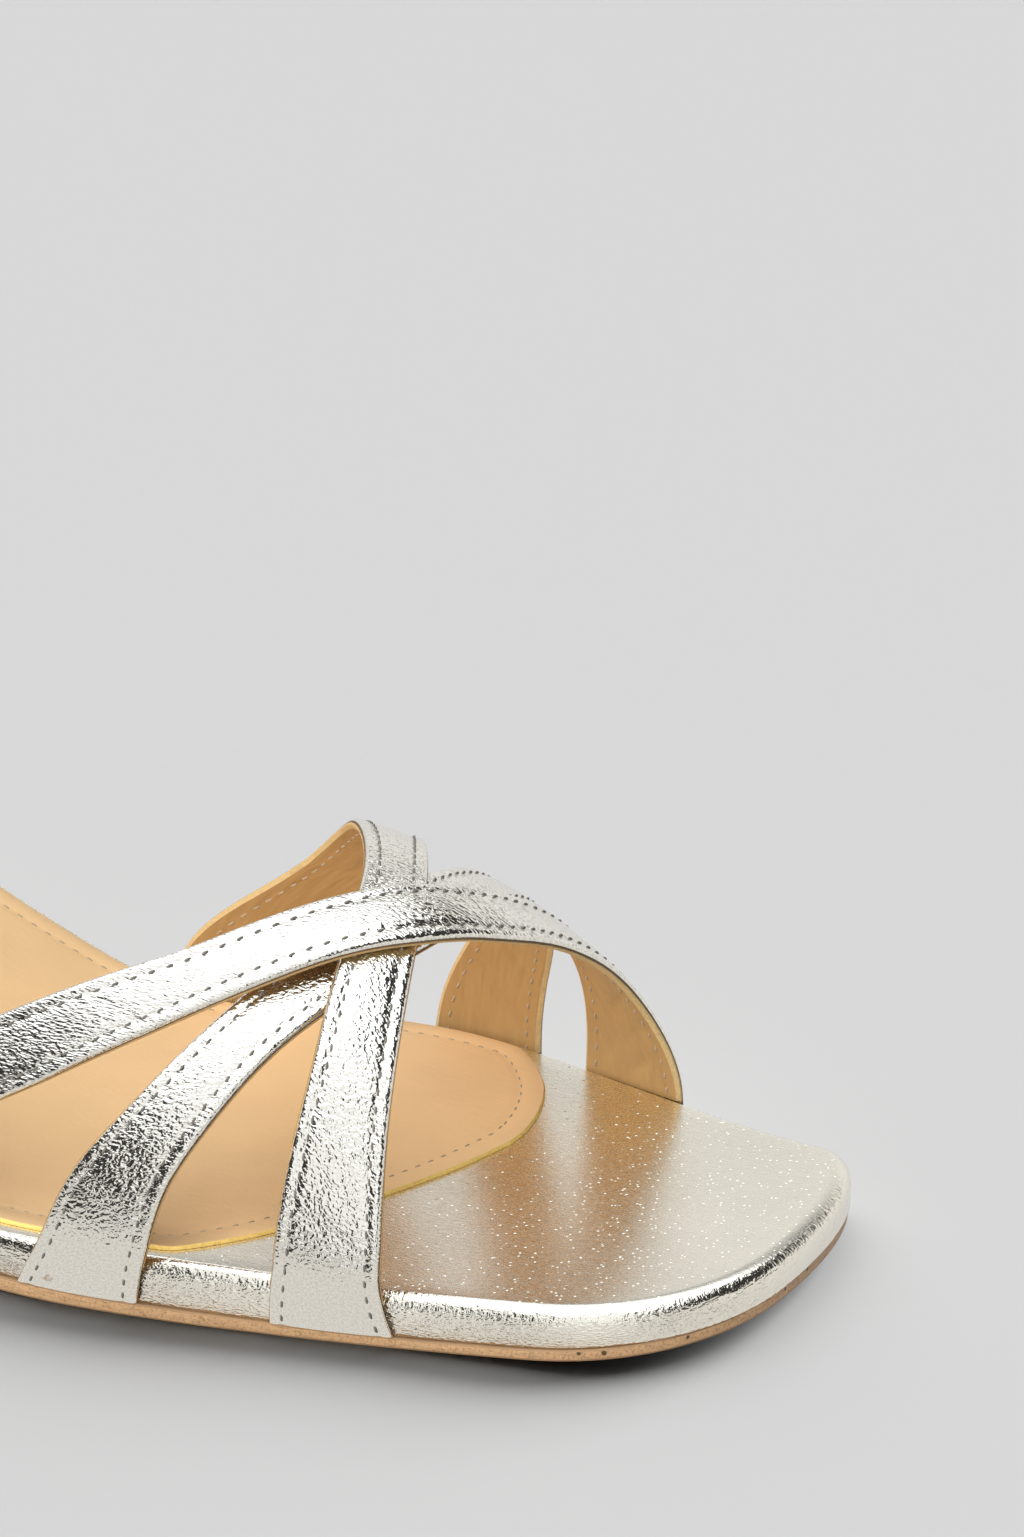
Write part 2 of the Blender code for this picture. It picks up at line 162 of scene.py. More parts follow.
# Straps: edges and height over the form at girth angles, and listed creases. A crease is its girth, its share
# across the strap, its angle, half length, half width and depth.
EDGE_COLUMNS = ("girth", "front", "rear")
LIFT_COLUMNS = ("girth", "lift")
STRAPS = {
    "top_strap": {
        "edges": ((-8, 114.6, 134.4), (0, 113.1, 131.4), (15, 106.4, 123.7), (30, 91, 107.9),
                  (45, 77.2, 92.3), (60, 64.9, 77.8), (75, 55.9, 67.2), (90, 50.3, 60.4), (120, 45.4, 54.4),
                  (150, 42.2, 53.4), (180, 37.8, 53.9), (188, 37.4, 54.4)),
        "lift": ((-8, 0), (35, 0.1), (53, 1.7), (67, 3.1), (84, 3.3), (100, 2.1), (115, 0.8), (132, 0),
                 (188, 0)),
        "creases": ((20, 0.5, 80, 5, 1.2, 0.10), (44, 0.4, 75, 4, 0.9, 0.08), (96, 0.5, 85, 4, 0.8, 0.08)),
        "lining_creases": ((158, 0.45, 35, 5, 0.6, 0.26), (163, 0.6, 40, 5, 0.5, 0.26),
                           (168, 0.4, 42, 4, 0.5, 0.30), (172, 0.65, 38, 4, 0.5, 0.28),
                           (175, 0.35, 45, 4, 0.5, 0.28)),
    },
    "low_strap": {
        "edges": ((-8, 76.6, 94), (0, 75.2, 90.7), (15, 72.6, 85.8), (30, 68, 79.1), (45, 63.4, 73.4),
                  (60, 58.8, 68.8), (75, 55.6, 65.2), (90, 54, 63.4), (120, 54.4, 64), (150, 57, 67.8),
                  (180, 61.9, 78.2), (188, 61.6, 78.9)),
        "lift": ((-8, 0), (38, 0), (55, -0.6), (100, -0.6), (115, -0.7), (138, 0), (188, 0)),
        "creases": ((16, 0.35, 40, 4, 0.9, 0.08), (21, 0.6, 55, 4, 0.8, 0.08), (50, 0.5, 80, 4, 0.8, 0.10)),
        "lining_creases": ((140, 0.5, -40, 5, 0.6, 0.24), (148, 0.35, -38, 5, 0.6, 0.26),
                           (155, 0.6, -42, 5, 0.5, 0.28), (163, 0.4, -40, 5, 0.5, 0.30),
                           (170, 0.6, -35, 5, 0.5, 0.30), (175, 0.35, -30, 5, 0.5, 0.28)),
    },
    "mid_strap": {
        "edges": ((-8, 42.2, 58.8), (0, 43.3, 58), (15, 44, 57.6), (30, 45.5, 57.6), (45, 47.8, 58.3),
                  (60, 50.7, 60.2), (75, 54.1, 62.9), (90, 58.1, 66.7), (120, 68.8, 79.4), (150, 80.6, 93.8),
                  (180, 98.1, 115.4), (188, 98.6, 116.4)),
        "lift": ((-8, 0), (35, 0), (58, 1.1), (70, 1.3), (100, 1.3), (122, 0.9), (150, 0), (188, 0)),
        "creases": ((-2, 0.16, 0, 4, 0.5, 0.12), (14, 0.5, 70, 5, 1.0, 0.08), (34, 0.4, 80, 4, 0.8, 0.06)),
        "lining_creases": ((150, 0.5, 60, 6, 1.2, 0.10), (168, 0.5, 40, 6, 0.8, 0.10)),
    },
}
ROW_STEP = 0.5                 # distance between cross sections of a strap
EDGE_PLACES = (0.0, 0.04, 0.12, 0.25, 0.42, 0.65, 0.95, 1.25, 1.5, 1.7, 1.9, 2.1, 2.3, 2.6, 3.1)
FACE_COLUMNS = 9               # faces between the two rows of edge places
BACK_COLUMNS = 10              # faces across the back of the leather
LINING_COLUMNS = 18
LINING_INSET = -0.12           # lining edge inside the folded leather edge; below zero it stands out
LINING_GIRTH = -1.0            # girth at which the lining ends behind the platform's edge
LINING_EDGE_SHARE = 0.6        # height of the lining's slanted edge, beside its thickness
LINING_CLEARANCE = 0.03        # lining to the back of the leather
STACK_GAP = 0.05               # gap that keeps stacked pieces apart
LEG_RISE = 0.3                 # strap ends over the outsole
LEG_TUCK = 1.1                 # how far a strap's end is drawn in under the platform's edge
ROLL_RADIUS = 0.5              # round of the folded leather edge
BEAD_PLACE = 0.85              # the full round of the edge, where the lining's edge fills the fold
BEAD_WIDTH = 0.45
BEAD_HEIGHT = 0.08
GROOVE_WIDTH = 0.46            # half width of the dip along a stitch row
GROOVE_SHALLOW = 0.35          # share of the dip that is left in the middle of a stitch

# Stitches
THREAD_SIDES = 8
THREAD_STEPS = 9
THREAD_SINK = 0.16             # depth of a stitch's ends under the leather
THREAD_TILT = 0.10             # sideways slant of a stitch, as a share of its length
THREAD_END = 0.45              # thickness of a stitch at its ends, beside its middle
THREAD_PROUD = 0.35            # height of a stitch's middle over the leather, beside the thread's radius
SOCK_THREAD = 0.75             # the sock's thread and groove, beside those of the straps
SOCK_GROOVE = 0.7

# Block heel
HEEL_BREAST = 192.0
HEEL_INSET = 1.0
HEEL_FOOT_SCALE = 0.84
HEEL_CENTRE = 217.0
HEEL_RINGS = 22
HEEL_WAIST = 0.035
HEEL_STEPS = (8, 26)           # sections along the sides and round the back
TIP_THICKNESS = 5.0
TIP_CHAMFER = 0.5

# Camera: the photograph's frame and the point of the shoe at a known pixel of it
IMAGE_SIZE = (1024, 1537)
SENSOR = 36.0
FOCAL_PIXELS = 9620.0
CAMERA_AZIMUTH = math.radians(29.0)
CAMERA_ELEVATION = math.radians(23.5)
CAMERA_DISTANCE = 1.3
ANCHOR = (-48.5, 0.0, 8.0)
ANCHOR_PIXEL = (478.0, 1185.0)


# Curves through tables
def column(rows, columns, name):
    index = columns.index(name)
    return np.array([row[index] for row in rows], float)


def curve_through(xs, ys):
    """A smooth curve through a table's points, with slopes from each point's two neighbours."""
    steps = np.diff(ys) / np.diff(xs)
    slopes = np.concatenate((steps[:1], steps[:1], steps[1:]))
    before = np.diff(xs)[:-1]
    after = np.diff(xs)[1:]
    slopes[1:-1] = (steps[:-1] * after + steps[1:] * before) / (before + after)

    def value(x):
        x = np.clip(x, xs[0], xs[-1])
        i = np.clip(np.searchsorted(xs, x) - 1, 0, len(xs) - 2)
        width = xs[i + 1] - xs[i]
        t = (x - xs[i]) / width
        rise = t * t * (3 - 2 * t)
        swing = slopes[i] * (t ** 3 - 2 * t * t + t) + slopes[i + 1] * (t ** 3 - t * t)
        return ys[i] + (ys[i + 1] - ys[i]) * rise + width * swing

    return value


def table_curve(rows, columns, name):
    return curve_through(column(rows, columns, columns[0]), column(rows, columns, name))


def smooth_step(x, start, end):
    t = np.clip((x - start) / (end - start), 0.0, 1.0)
    return t * t * (3 - 2 * t)


lateral_width = table_curve(SOLE_SECTIONS, SOLE_COLUMNS, "lateral")
medial_width = table_curve(SOLE_SECTIONS, SOLE_COLUMNS, "medial")
outsole_thickness = table_curve(LAYER_SECTIONS, LAYER_COLUMNS, "outsole")
platform_thickness = table_curve(LAYER_SECTIONS, LAYER_COLUMNS, "platform")
last_height = table_curve(LAST_SECTIONS, LAST_COLUMNS, "height")
sock_front_lateral = table_curve(SOCK_FRONT, SOCK_COLUMNS, "lateral")
sock_front_medial = table_curve(SOCK_FRONT, SOCK_COLUMNS, "medial")

# The frame's place of the shoe's own origin, from the sock's tip and the outsole's widest point
SHIFT = np.array((
    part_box("insole")[1].x / MM + SOCK_FRONT[0][0],
    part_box("outsole")[0].y / MM + lateral_width(np.linspace(0, LENGTH, 2401)).max(),
    0.0,
))


# Side profile and outline of the sole
def tread_height(s):
    span = SEAT_START - ARCH_START
    t = np.clip((s - ARCH_START) / span, 0.0, 1.0)
    arch = SEAT_HEIGHT * t * t * (3 - 2 * t) + SEAT_SLOPE * span * (t ** 3 - t * t)
    back = np.maximum(s - SEAT_START, 0.0)
    bend = (BACK_SLOPE - SEAT_SLOPE) / (2 * (LENGTH - SEAT_START))
    spring = np.maximum((SPRING_LENGTH - s) / SPRING_LENGTH, 0.0)
    return arch + SEAT_SLOPE * back + bend * back * back + TOE_SPRING * spring * spring


def outsole_tuck(s):
    """How far the outsole's edge lies behind the platform's at the toe."""
    return OUTSOLE_TUCK * np.maximum(1 - s / SPRING_LENGTH, 0.0) ** 2


def outsole_top(s):
    return tread_height(s) + outsole_thickness(s)


def footbed_top(s):
    return outsole_top(s) + GAP + platform_thickness(s)


def corner(s, length, power):
    t = np.clip((length - s) / length, 0.0, 1.0)
    return (1 - t ** power) ** (1 / power)


def heel_end(s):
    t = np.clip((s - LENGTH + HEEL_ROUND) / HEEL_ROUND, 0.0, 1.0)
    return np.sqrt(np.maximum(1 - t * t, 0.0))


def lateral_edge(s):
    return -lateral_width(s) * corner(s, *LATERAL_CORNER) * heel_end(s)


def medial_edge(s):
    return medial_width(s) * corner(s, *MEDIAL_CORNER) * heel_end(s)


def heel_arc(steps):
    """Places round the back of the heel, closer together towards its end."""
    return LENGTH - HEEL_ROUND + HEEL_ROUND * np.sin(math.pi / 2 * np.arange(steps) / (steps - HEEL_ARC_CUT))


def sole_places():
    """Places along the sole, closer together where its ends are round."""
    toe_steps, middle_steps, heel_steps = SOLE_STEPS
    toe = SPRING_LENGTH * (1 - np.cos(math.pi / 2 * (np.arange(toe_steps) + TOE_ARC_START) / toe_steps))
    middle = np.linspace(SPRING_LENGTH, LENGTH - HEEL_ROUND, middle_steps, endpoint=False)
    return np.concatenate((toe, middle, heel_arc(heel_steps)))


def joined_sides(outer, inner):
    """One closed ring: down the outer side and back up the inner one."""
    return np.concatenate((outer, inner[::-1]))


def sole_ring(places):
    outer = np.stack((places, lateral_edge(places)), 1)
    inner = np.stack((places, medial_edge(places)), 1)
    return joined_sides(outer, inner)


def inset_ring(ring, distance):
    """A closed plan outline drawn in by a distance along its own normals."""
    along = np.roll(ring, -1, 0) - np.roll(ring, 1, 0)
    along /= np.hypot(along[:, 0], along[:, 1])[:, None]
    return ring + distance * np.stack((-along[:, 1], along[:, 0]), 1)


def run_along(line):
    """Distance of each point of a line from its start, along the line."""
    return np.concatenate(([0.0], np.cumsum(np.linalg.norm(np.diff(line, axis=0), axis=1))))


def raised(ring, height):
    return np.stack((-ring[:, 0], ring[:, 1], height(ring[:, 0])), 1)


# The form of the foot
def form_point(s, girth):
    """Point of the form at a girth angle in degrees: 0 the outer edge, 90 the top, 180 the inner edge."""
    turn = np.radians(np.clip(girth, 0.0, 180.0))
    side = smooth_step(girth, *SHAPE_BLEND)
    width_power = LATERAL_SHAPE[0] + (MEDIAL_SHAPE[0] - LATERAL_SHAPE[0]) * side
    height_power = LATERAL_SHAPE[1] + (MEDIAL_SHAPE[1] - LATERAL_SHAPE[1]) * side
    wall = LAST_CLEARANCE - FOOTBED_SETBACK
    outer = -lateral_width(s) - wall
    inner = medial_width(s) + wall
    across = np.sign(np.cos(turn)) * np.abs(np.cos(turn)) ** width_power
    y = (outer + inner) / 2 - (inner - outer) / 2 * across
    z = footbed_top(s) + last_height(s) * np.maximum(np.sin(turn), 0.0) ** height_power
    leg = np.clip(np.maximum(-girth, girth - 180.0) / FOOT_GIRTH, 0.0, 1.0)
    z = z - leg * (footbed_top(s) - outsole_top(s) - LEG_RISE)
    y = y - np.sign(y) * LEG_TUCK * leg * leg
    return np.stack((-s, y, z), -1)


def form_normal(s, girth):
    girth = np.clip(girth, PROBE_GIRTH, 180.0 - PROBE_GIRTH)
    along = form_point(s + PROBE, girth) - form_point(s - PROBE, girth)
    around = form_point(s, girth + PROBE_GIRTH) - form_point(s, girth - PROBE_GIRTH)
    normal = np.cross(around, along)
    return normal / np.linalg.norm(normal, axis=-1, keepdims=True)


class StrapForm:
    """A strap laid on the form: places are given along its middle line and across from its front edge."""

    def __init__(self, name):
        table = STRAPS[name]
        self.front = table_curve(table["edges"], EDGE_COLUMNS, "front")
        self.rear = table_curve(table["edges"], EDGE_COLUMNS, "rear")
        self.lift = table_curve(table["lift"], LIFT_COLUMNS, "lift")
        self.girth = np.linspace(-FOOT_GIRTH, 180.0 + FOOT_GIRTH, 1200)
        front = self.front(self.girth)
        rear = self.rear(self.girth)
        middle = form_point((front + rear) / 2, self.girth)
        self.along = run_along(middle)
        self.length = self.along[-1]
        tangent = np.gradient(middle, self.along, axis=0)
        tangent /= np.linalg.norm(tangent, axis=1, keepdims=True)
        row = form_point(rear, self.girth) - form_point(front, self.girth)
        slant = np.sum(row * tangent, 1)
        self.widths = np.linalg.norm(row - slant[:, None] * tangent, axis=1)

    def width(self, along):
        return np.interp(along, self.along, self.widths)

    def place(self, along, across):
        """Place on the form and outward direction, both of it and of the strap's lift."""
        girth = np.interp(along, self.along, self.girth)
        share = across / self.width(along)
        s = self.front(girth) + (self.rear(girth) - self.front(girth)) * share
        normal = form_normal(s, girth)
        return form_point(s, girth) + normal * self.lift(girth)[..., None], normal

    def at_girth(self, girth):
        return np.interp(girth, self.girth, self.along)


def crease_depth(strap, creases, along, across):
    """Soft troughs placed on a strap."""
    depth = np.zeros(np.broadcast(along, across).shape)
    for row in creases:
        girth, share, angle, half_length, half_width, deep = row
        centre = strap.at_girth(girth)
        turn = math.radians(angle)
        side = across - share * strap.width(centre)
        down = along - centre
        run = down * math.cos(turn) + side * math.sin(turn)
        off = side * math.cos(turn) - down * math.sin(turn)
        depth += deep * np.exp(-(off / half_width) ** 2 - (run / half_length) ** 2)
    return depth


# Mesh pieces
def add_piece(name, points, faces, finishes, replaces=(), face_finish=None, uvs=None, sharp=40.0):
    """One piece of the shoe from points of the shoe's own frame."""
    data = bpy.data.meshes.new(name)
    data.from_pydata(((points + SHIFT) * MM).tolist(), [], faces)
    for finish in finishes:
        data.materials.append(finish)
    if face_finish is not None:
        data.polygons.foreach_set("material_index", np.asarray(face_finish, np.int32))
    if uvs is not None:
        corners = np.empty(len(data.loops), np.int32)
        data.loops.foreach_get("vertex_index", corners)
        layer = data.uv_layers.new(name="grain")
        layer.data.foreach_set("uv", uvs[corners].astype(np.float32).ravel())
    mesh = bmesh.new()
    mesh.from_mesh(data)
    bmesh.ops.recalc_face_normals(mesh, faces=mesh.faces)
    mesh.to_mesh(data)
    mesh.free()
    data.shade_smooth()
    data.set_sharp_from_angle(angle=math.radians(sharp))
    item = bpy.data.objects.new(name, data)
    bpy.context.scene.collection.objects.link(item)
    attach(item, BODY)
    if replaces:
        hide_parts(*replaces)
    return item


def band_faces(rows, columns):
    """Quads between rows of points, each row closed on itself."""
    start = np.arange(rows - 1)[:, None] * columns
    here = np.arange(columns)[None, :]
    there = (here + 1) % columns
    quads = np.stack((start + here, start + there, start + columns + there, start + columns + here), -1)
    return quads.reshape(-1, 4).tolist()


def tube_faces(rows, columns):
    """Faces of a tube through rows of points, closed at both ends."""
    ends = [list(range(columns)), list(range((rows - 1) * columns, rows * columns))]
    return band_faces(rows, columns) + ends


def tube_solid(sections):
    """Points and faces of a solid through cross sections."""
    return sections.reshape(-1, 3), tube_faces(*sections.shape[:2])


def ring_solid(rings, top_columns, top_height=None):
    """Points and faces of a solid between stacked rings, with a grid on its top.

    The last value tells each face's band: the number of the ring below it, or len(rings) - 1 for the
    top and len(rings) for the base.
    """
    count = len(rings[0])
    half = count // 2
    points = list(np.concatenate(rings))
    faces = band_faces(len(rings), count)
    bands = [i for i in range(len(rings) - 1) for _ in range(count)]
    for first, columns, band in ((count * (len(rings) - 1), top_columns, len(rings) - 1), (0, 1, len(rings))):
        grid = []
        for i in range(half):
            left = first + i
            right = first + count - 1 - i
            row = [left]
            if 0 < i < half - 1:
                for k in range(1, columns):
                    point = points[left] + (points[right] - points[left]) * (k / columns)
                    if top_height is not None:
                        point[2] = top_height(-point[0])
                    row.append(len(points))
                    points.append(point)
            row.append(right)
            grid.append(row)
        for before, after in zip(grid, grid[1:]):
            if len(before) == len(after):
                for k in range(len(before) - 1):
                    faces.append([before[k], before[k + 1], after[k + 1], after[k]])
                    bands.append(band)
            else:
                faces.append(before + after[::-1])
                bands.append(band)
    return np.array(points), faces, np.array(bands)


def thread_solid(centres, normals, radius):
    """Joined stitches: centres and normals are (stitch, step, 3); each stitch is a closed, tapered tube."""
    stitches, steps = centres.shape[:2]
    along = np.gradient(centres, axis=1)
    along /= np.linalg.norm(along, axis=-1, keepdims=True)
    side = np.cross(along, normals)
    side /= np.linalg.norm(side, axis=-1, keepdims=True)
    up = np.cross(side, along)
    share = np.linspace(-1.0, 1.0, steps)
    thick = radius * (THREAD_END + (1 - THREAD_END) * np.sqrt(1 - share ** 2))
    turns = np.arange(THREAD_SIDES) * 2 * math.pi / THREAD_SIDES
    ring = (np.cos(turns)[:, None] * side[:, :, None, :] + np.sin(turns)[:, None] * up[:, :, None, :])
    points = centres[:, :, None, :] + thick[None, :, None, None] * ring
    single = tube_faces(steps, THREAD_SIDES)
    faces = []
    for k in range(stitches):
        start = k * steps * THREAD_SIDES
        faces += [[start + i for i in face] for face in single]
    return points.reshape(-1, 3), faces


def stitch_marks(length, sizes):
    """Places along a seam of the steps of each stitch, as (stitch, step), and each step's share."""
    pitch = sizes.stitch_pitch / MM
    long = sizes.stitch_length / MM
    count = int(length / pitch)
    share = np.linspace(-0.5, 0.5, THREAD_STEPS)
    middles = (np.arange(count) + 0.5) * pitch
    return middles[:, None] + share[None, :] * long, np.broadcast_to(share, (count, THREAD_STEPS))


def stitch_arch(share, radius):
    """Height of a stitch's middle line over the leather: proud in the middle and sunk at its ends."""
    proud = radius * THREAD_PROUD
    return proud - (THREAD_SINK + proud) * (2 * np.abs(share)) ** 4


# Finishes
FLAKE_COUNT = 0.95             # glitter flakes to a millimetre
FLAKE_RADIUS = 0.2
FLAKE_TILT = (-0.55, 0.3, 0.0)  # slopes of the flakes: the least, and the spread over it
FLAKE_SPREAD = (0.6, 0.6, 0.0)
OUTSOLE_PITS = (               # larger pits in the outsole's edge, painted dark as their shade: place in the shoe's frame, and radius
    (16.98, -28.41, 2.8, 0.36),
    (13.97, -26.84, 2.9, 0.46),
    (5.42, -18.99, 3.8, 0.32),
    (0.12, 5.41, 4.4, 0.34),
    (0.01, -1.27, 4.4, 0.34),
)
LINING_SLANT = 0.7             # turn of the lining's wrinkles, and below it how many go to a millimetre
LINING_WRINKLES = (0.12, 0.75, 1.0)
LINING_WRINKLE_DEPTH = 0.32
CRINKLES = (1.9, 1.6, 1.0)     # crinkles of the straps' foil to a millimetre, along and across
CRINKLE_DEPTH = 0.24
WRAP_WRINKLES = (1.4, 2.6, 1.0)  # patterns of the platform's wrap to a millimetre, and their depths
WRAP_WRINKLE_DEPTH = 0.2
WRAP_PLEATS = (1.7, 0.6, 1.0)
WRAP_PLEAT_DEPTH = 0.14
WRAP_SKIN = (0.9, 3.0, 1.0)
WRAP_SKIN_DEPTH = 0.024
SOCK_SHADE = (4.0, 12.0)       # painted shade: the sock is darker near the outer edge of the sole, between these distances
# share of the sock's colour that is left in that painted shade
EDGE_SHADE = 0.72
PLEATS_END = (48.0, 62.0)      # the platform's edge is pleated at the toe, and smoother from here back
SMOOTH_FOOT = (6.0, 13.0)      # from a strap's outer end, the foil is drawn smooth up to here


class Finish:
    """A material and short ways to add its nodes."""

    def __init__(self, name, color, roughness, metallic=0.0, coat=0.0, coat_roughness=0.1, specular=0.5):
        self.material = bpy.data.materials.new(name)
        self.material.use_nodes = True
        self.tree = self.material.node_tree
        self.shader = self.tree.nodes["Principled BSDF"]
        self.set("Base Color", tuple(color))
        self.set("Roughness", roughness)
        self.set("Metallic", metallic)
        self.set("Coat Weight", coat)
        self.set("Coat Roughness", coat_roughness)
        self.set("Specular IOR Level", specular)
        self.material.diffuse_color = tuple(color)

    def set(self, socket, value):
        if isinstance(value, bpy.types.NodeSocket):
            self.tree.links.new(value, self.shader.inputs[socket])
        else:
            self.shader.inputs[socket].default_value = value

    def node(self, kind, inputs, **settings):
        node = self.tree.nodes.new("ShaderNode" + kind)
        for name, value in settings.items():
            setattr(node, name, value)
        for name, value in inputs.items():
            if isinstance(value, bpy.types.NodeSocket):
                self.tree.links.new(value, node.inputs[name])
            else:
                node.inputs[name].default_value = value
        return node

    def surface_millimetres(self):
        """Places on a strap, in millimetres along and across it."""
        return self.node("TexCoord", {}).outputs["UV"]

    def object_millimetres(self):
        """Places in the shoe's frame, in millimetres."""
        return self.scaled(self.node("TexCoord", {}).outputs["Object"], 1 / MM)

    def scaled(self, vector, factor):
        return self.node("VectorMath", {0: vector, "Scale": factor}, operation="SCALE").outputs["Vector"]

    def vector_math(self, operation, first, second, output="Vector"):
        return self.node("VectorMath", {0: first, 1: second}, operation=operation).outputs[output]

    def axis(self, vector, name):
        return self.node("SeparateXYZ", {0: vector}).outputs[name]

    def stretched(self, vector, scale):
        return self.node("Mapping", {"Vector": vector, "Scale": scale}).outputs["Vector"]

    def warped(self, vector, scale, amount):
        """Places moved about by a soft noise, so that a pattern on them isn't regular."""
        noise = self.node("TexNoise", {"Vector": vector, "Scale": scale, "Detail": 1.0}).outputs["Color"]
        centred = self.vector_math("SUBTRACT", noise, (0.5, 0.5, 0.5))
        return self.vector_math("ADD", vector, self.scaled(centred, amount))

    def noise(self, vector, scale, detail=2.0, roughness=0.5, distortion=0.0):
        inputs = {"Vector": vector, "Scale": scale, "Detail": detail, "Roughness": roughness,
                  "Distortion": distortion}
        return self.node("TexNoise", inputs).outputs[0]

    def cells(self, vector, scale, feature="F1", output="Distance"):
        return self.node("TexVoronoi", {"Vector": vector, "Scale": scale}, feature=feature).outputs[output]

    def glitter(self, place):
        """Heights of small tilted flakes, some of which throw back a light."""
        inputs = {"Vector": place, "Scale": FLAKE_COUNT}
        flake = self.node("TexVoronoi", inputs, feature="F1").outputs
        apart = self.vector_math("SUBTRACT", place, flake["Position"])
        tilts = {0: flake["Color"], 1: FLAKE_SPREAD, 2: FLAKE_TILT}
        slope = self.node("VectorMath", tilts, operation="MULTIPLY_ADD").outputs["Vector"]
        rise = self.vector_math("DOT_PRODUCT", apart, slope, "Value")
        inside = self.ranged(flake["Distance"], FLAKE_RADIUS * FLAKE_COUNT, FLAKE_RADIUS * FLAKE_COUNT * 0.8)
        return self.times(rise, inside)

    def ranged(self, value, low, high, start=0.0, end=1.0, kind="LINEAR"):
        """A value brought from the range low to high to the range start to end."""
        inputs = {"Value": value, "From Min": low, "From Max": high, "To Min": start, "To Max": end}
        return self.node("MapRange", inputs, interpolation_type=kind).outputs["Result"]

    def math(self, operation, first, second=0.0):
        return self.node("Math", {0: first, 1: second}, operation=operation).outputs["Value"]

    def times(self, first, second):
        return self.math("MULTIPLY", first, second)

    def tinted(self, share, first, second):
        """A colour between two colours."""
        node = self.node("Mix", {"Factor": share}, data_type="RGBA")
        for socket, value in zip([i for i in node.inputs if i.type == "RGBA"], (first, second)):
            if isinstance(value, bpy.types.NodeSocket):
                self.tree.links.new(value, socket)
            else:
                socket.default_value = tuple(value)
        return next(o for o in node.outputs if o.type == "RGBA")

    def relief(self, *layers):
        """Relief of the surface: each layer is a height and its depth in millimetres."""
        parts = [self.times(height, depth) for height, depth in layers]
        total = parts[0]
        for part in parts[1:]:
            total = self.math("ADD", total, part)
        bump = self.node("Bump", {"Height": total, "Strength": 1.0, "Distance": MM})
        self.set("Normal", bump.outputs["Normal"])


def shade(color, factor):
    return (color[0] * factor, color[1] * factor, color[2] * factor, 1.0)


def strap_foil(colours, scuff=None):
    """Silver foil on thin leather: bright, with a fine crinkle across the strap and a fine grain of painted
    shade.
    """
    foil = Finish("strap_foil", colours.strap_foil, 0.2, metallic=1.0, coat=0.2, coat_roughness=0.12)
    place = foil.surface_millimetres()
    along = foil.axis(place, "X")
    wandering = foil.warped(place, 0.5, 0.7)
    crinkle = foil.noise(foil.stretched(wandering, CRINKLES), 1.0, 1.0, 0.45)
    grain = foil.noise(place, 3.0, 2.0)
    patches = foil.noise(place, 0.13, 1.0)
    drawn = foil.ranged(along, *SMOOTH_FOOT, 0.26, 1.0, "SMOOTHSTEP")
    amount = foil.times(foil.ranged(patches, 0.35, 0.65, 0.7, 1.0), drawn)
    foil.relief((foil.times(crinkle, amount), CRINKLE_DEPTH))
    foil.set("Roughness", foil.ranged(crinkle, 0.3, 0.7, 0.11, 0.07))
    # painted shade: a fine grain of darker colour stands in for the shading of the foil's fine relief
    tint = foil.tinted(foil.ranged(grain, 0.38, 0.66), colours.strap_foil, shade(colours.strap_foil, 0.82))
    if scuff is not None:
        uneven = foil.warped(place, 1.2, 1.4)
        distance = foil.vector_math("DISTANCE", uneven, (*scuff, 0.0), "Value")
        tint = foil.tinted(foil.ranged(distance, 0.3, 0.75, 0.6, 0.0), tint, colours.glue)
    foil.set("Base Color", tint)
    return foil.material


def wrap_foil(colours):
    """Champagne foil leather of the platform and heel: smooth on top with glints, pleated at the edges."""
    foil = Finish("wrap_foil", colours.wrap_foil, 0.27, metallic=1.0, coat=0.1, coat_roughness=0.15)
    place = foil.object_millimetres()
    facing = foil.axis(foil.node("NewGeometry", {}).outputs["Normal"], "Z")
    side = foil.ranged(foil.math("ABSOLUTE", facing), 0.985, 0.85)
    rim = foil.times(side, foil.ranged(facing, 0.05, 0.35))
    ahead = foil.axis(place, "X")
    pleated = foil.ranged(ahead, SHIFT[0] - PLEATS_END[1], SHIFT[0] - PLEATS_END[0], 0.3, 1.0)
    wandering = foil.warped(place, 0.5, 0.8)
    around = foil.warped(foil.surface_millimetres(), 0.5, 0.8)
    wrinkles = foil.noise(foil.stretched(around, WRAP_WRINKLES), 1.0, 1.5)
    pleats = foil.noise(foil.stretched(around, WRAP_PLEATS), 1.0, 2.0, 0.7)
    skin = foil.noise(foil.stretched(wandering, WRAP_SKIN), 1.0, 2.0)
    wrinkled = foil.times(side, foil.ranged(facing, 0.6, 0.2, 0.35, 1.0))
    foil.relief(
        (foil.times(wrinkles, wrinkled), WRAP_WRINKLE_DEPTH),
        (foil.times(pleats, foil.times(rim, pleated)), WRAP_PLEAT_DEPTH),
        (skin, WRAP_SKIN_DEPTH),
        (foil.times(foil.glitter(place), foil.ranged(facing, 0.97, 0.995)), 1.0),
    )
    foil.set("Roughness", foil.ranged(foil.math("ADD", skin, side), 0.3, 1.3, 0.32, 0.10))
    cloud = foil.noise(place, 0.06, 2.0)
    foil.set("Base Color", foil.tinted(foil.ranged(cloud, 0.3, 0.7), colours.wrap_foil,
                                       shade(colours.wrap_foil, 0.93)))
    return foil.material


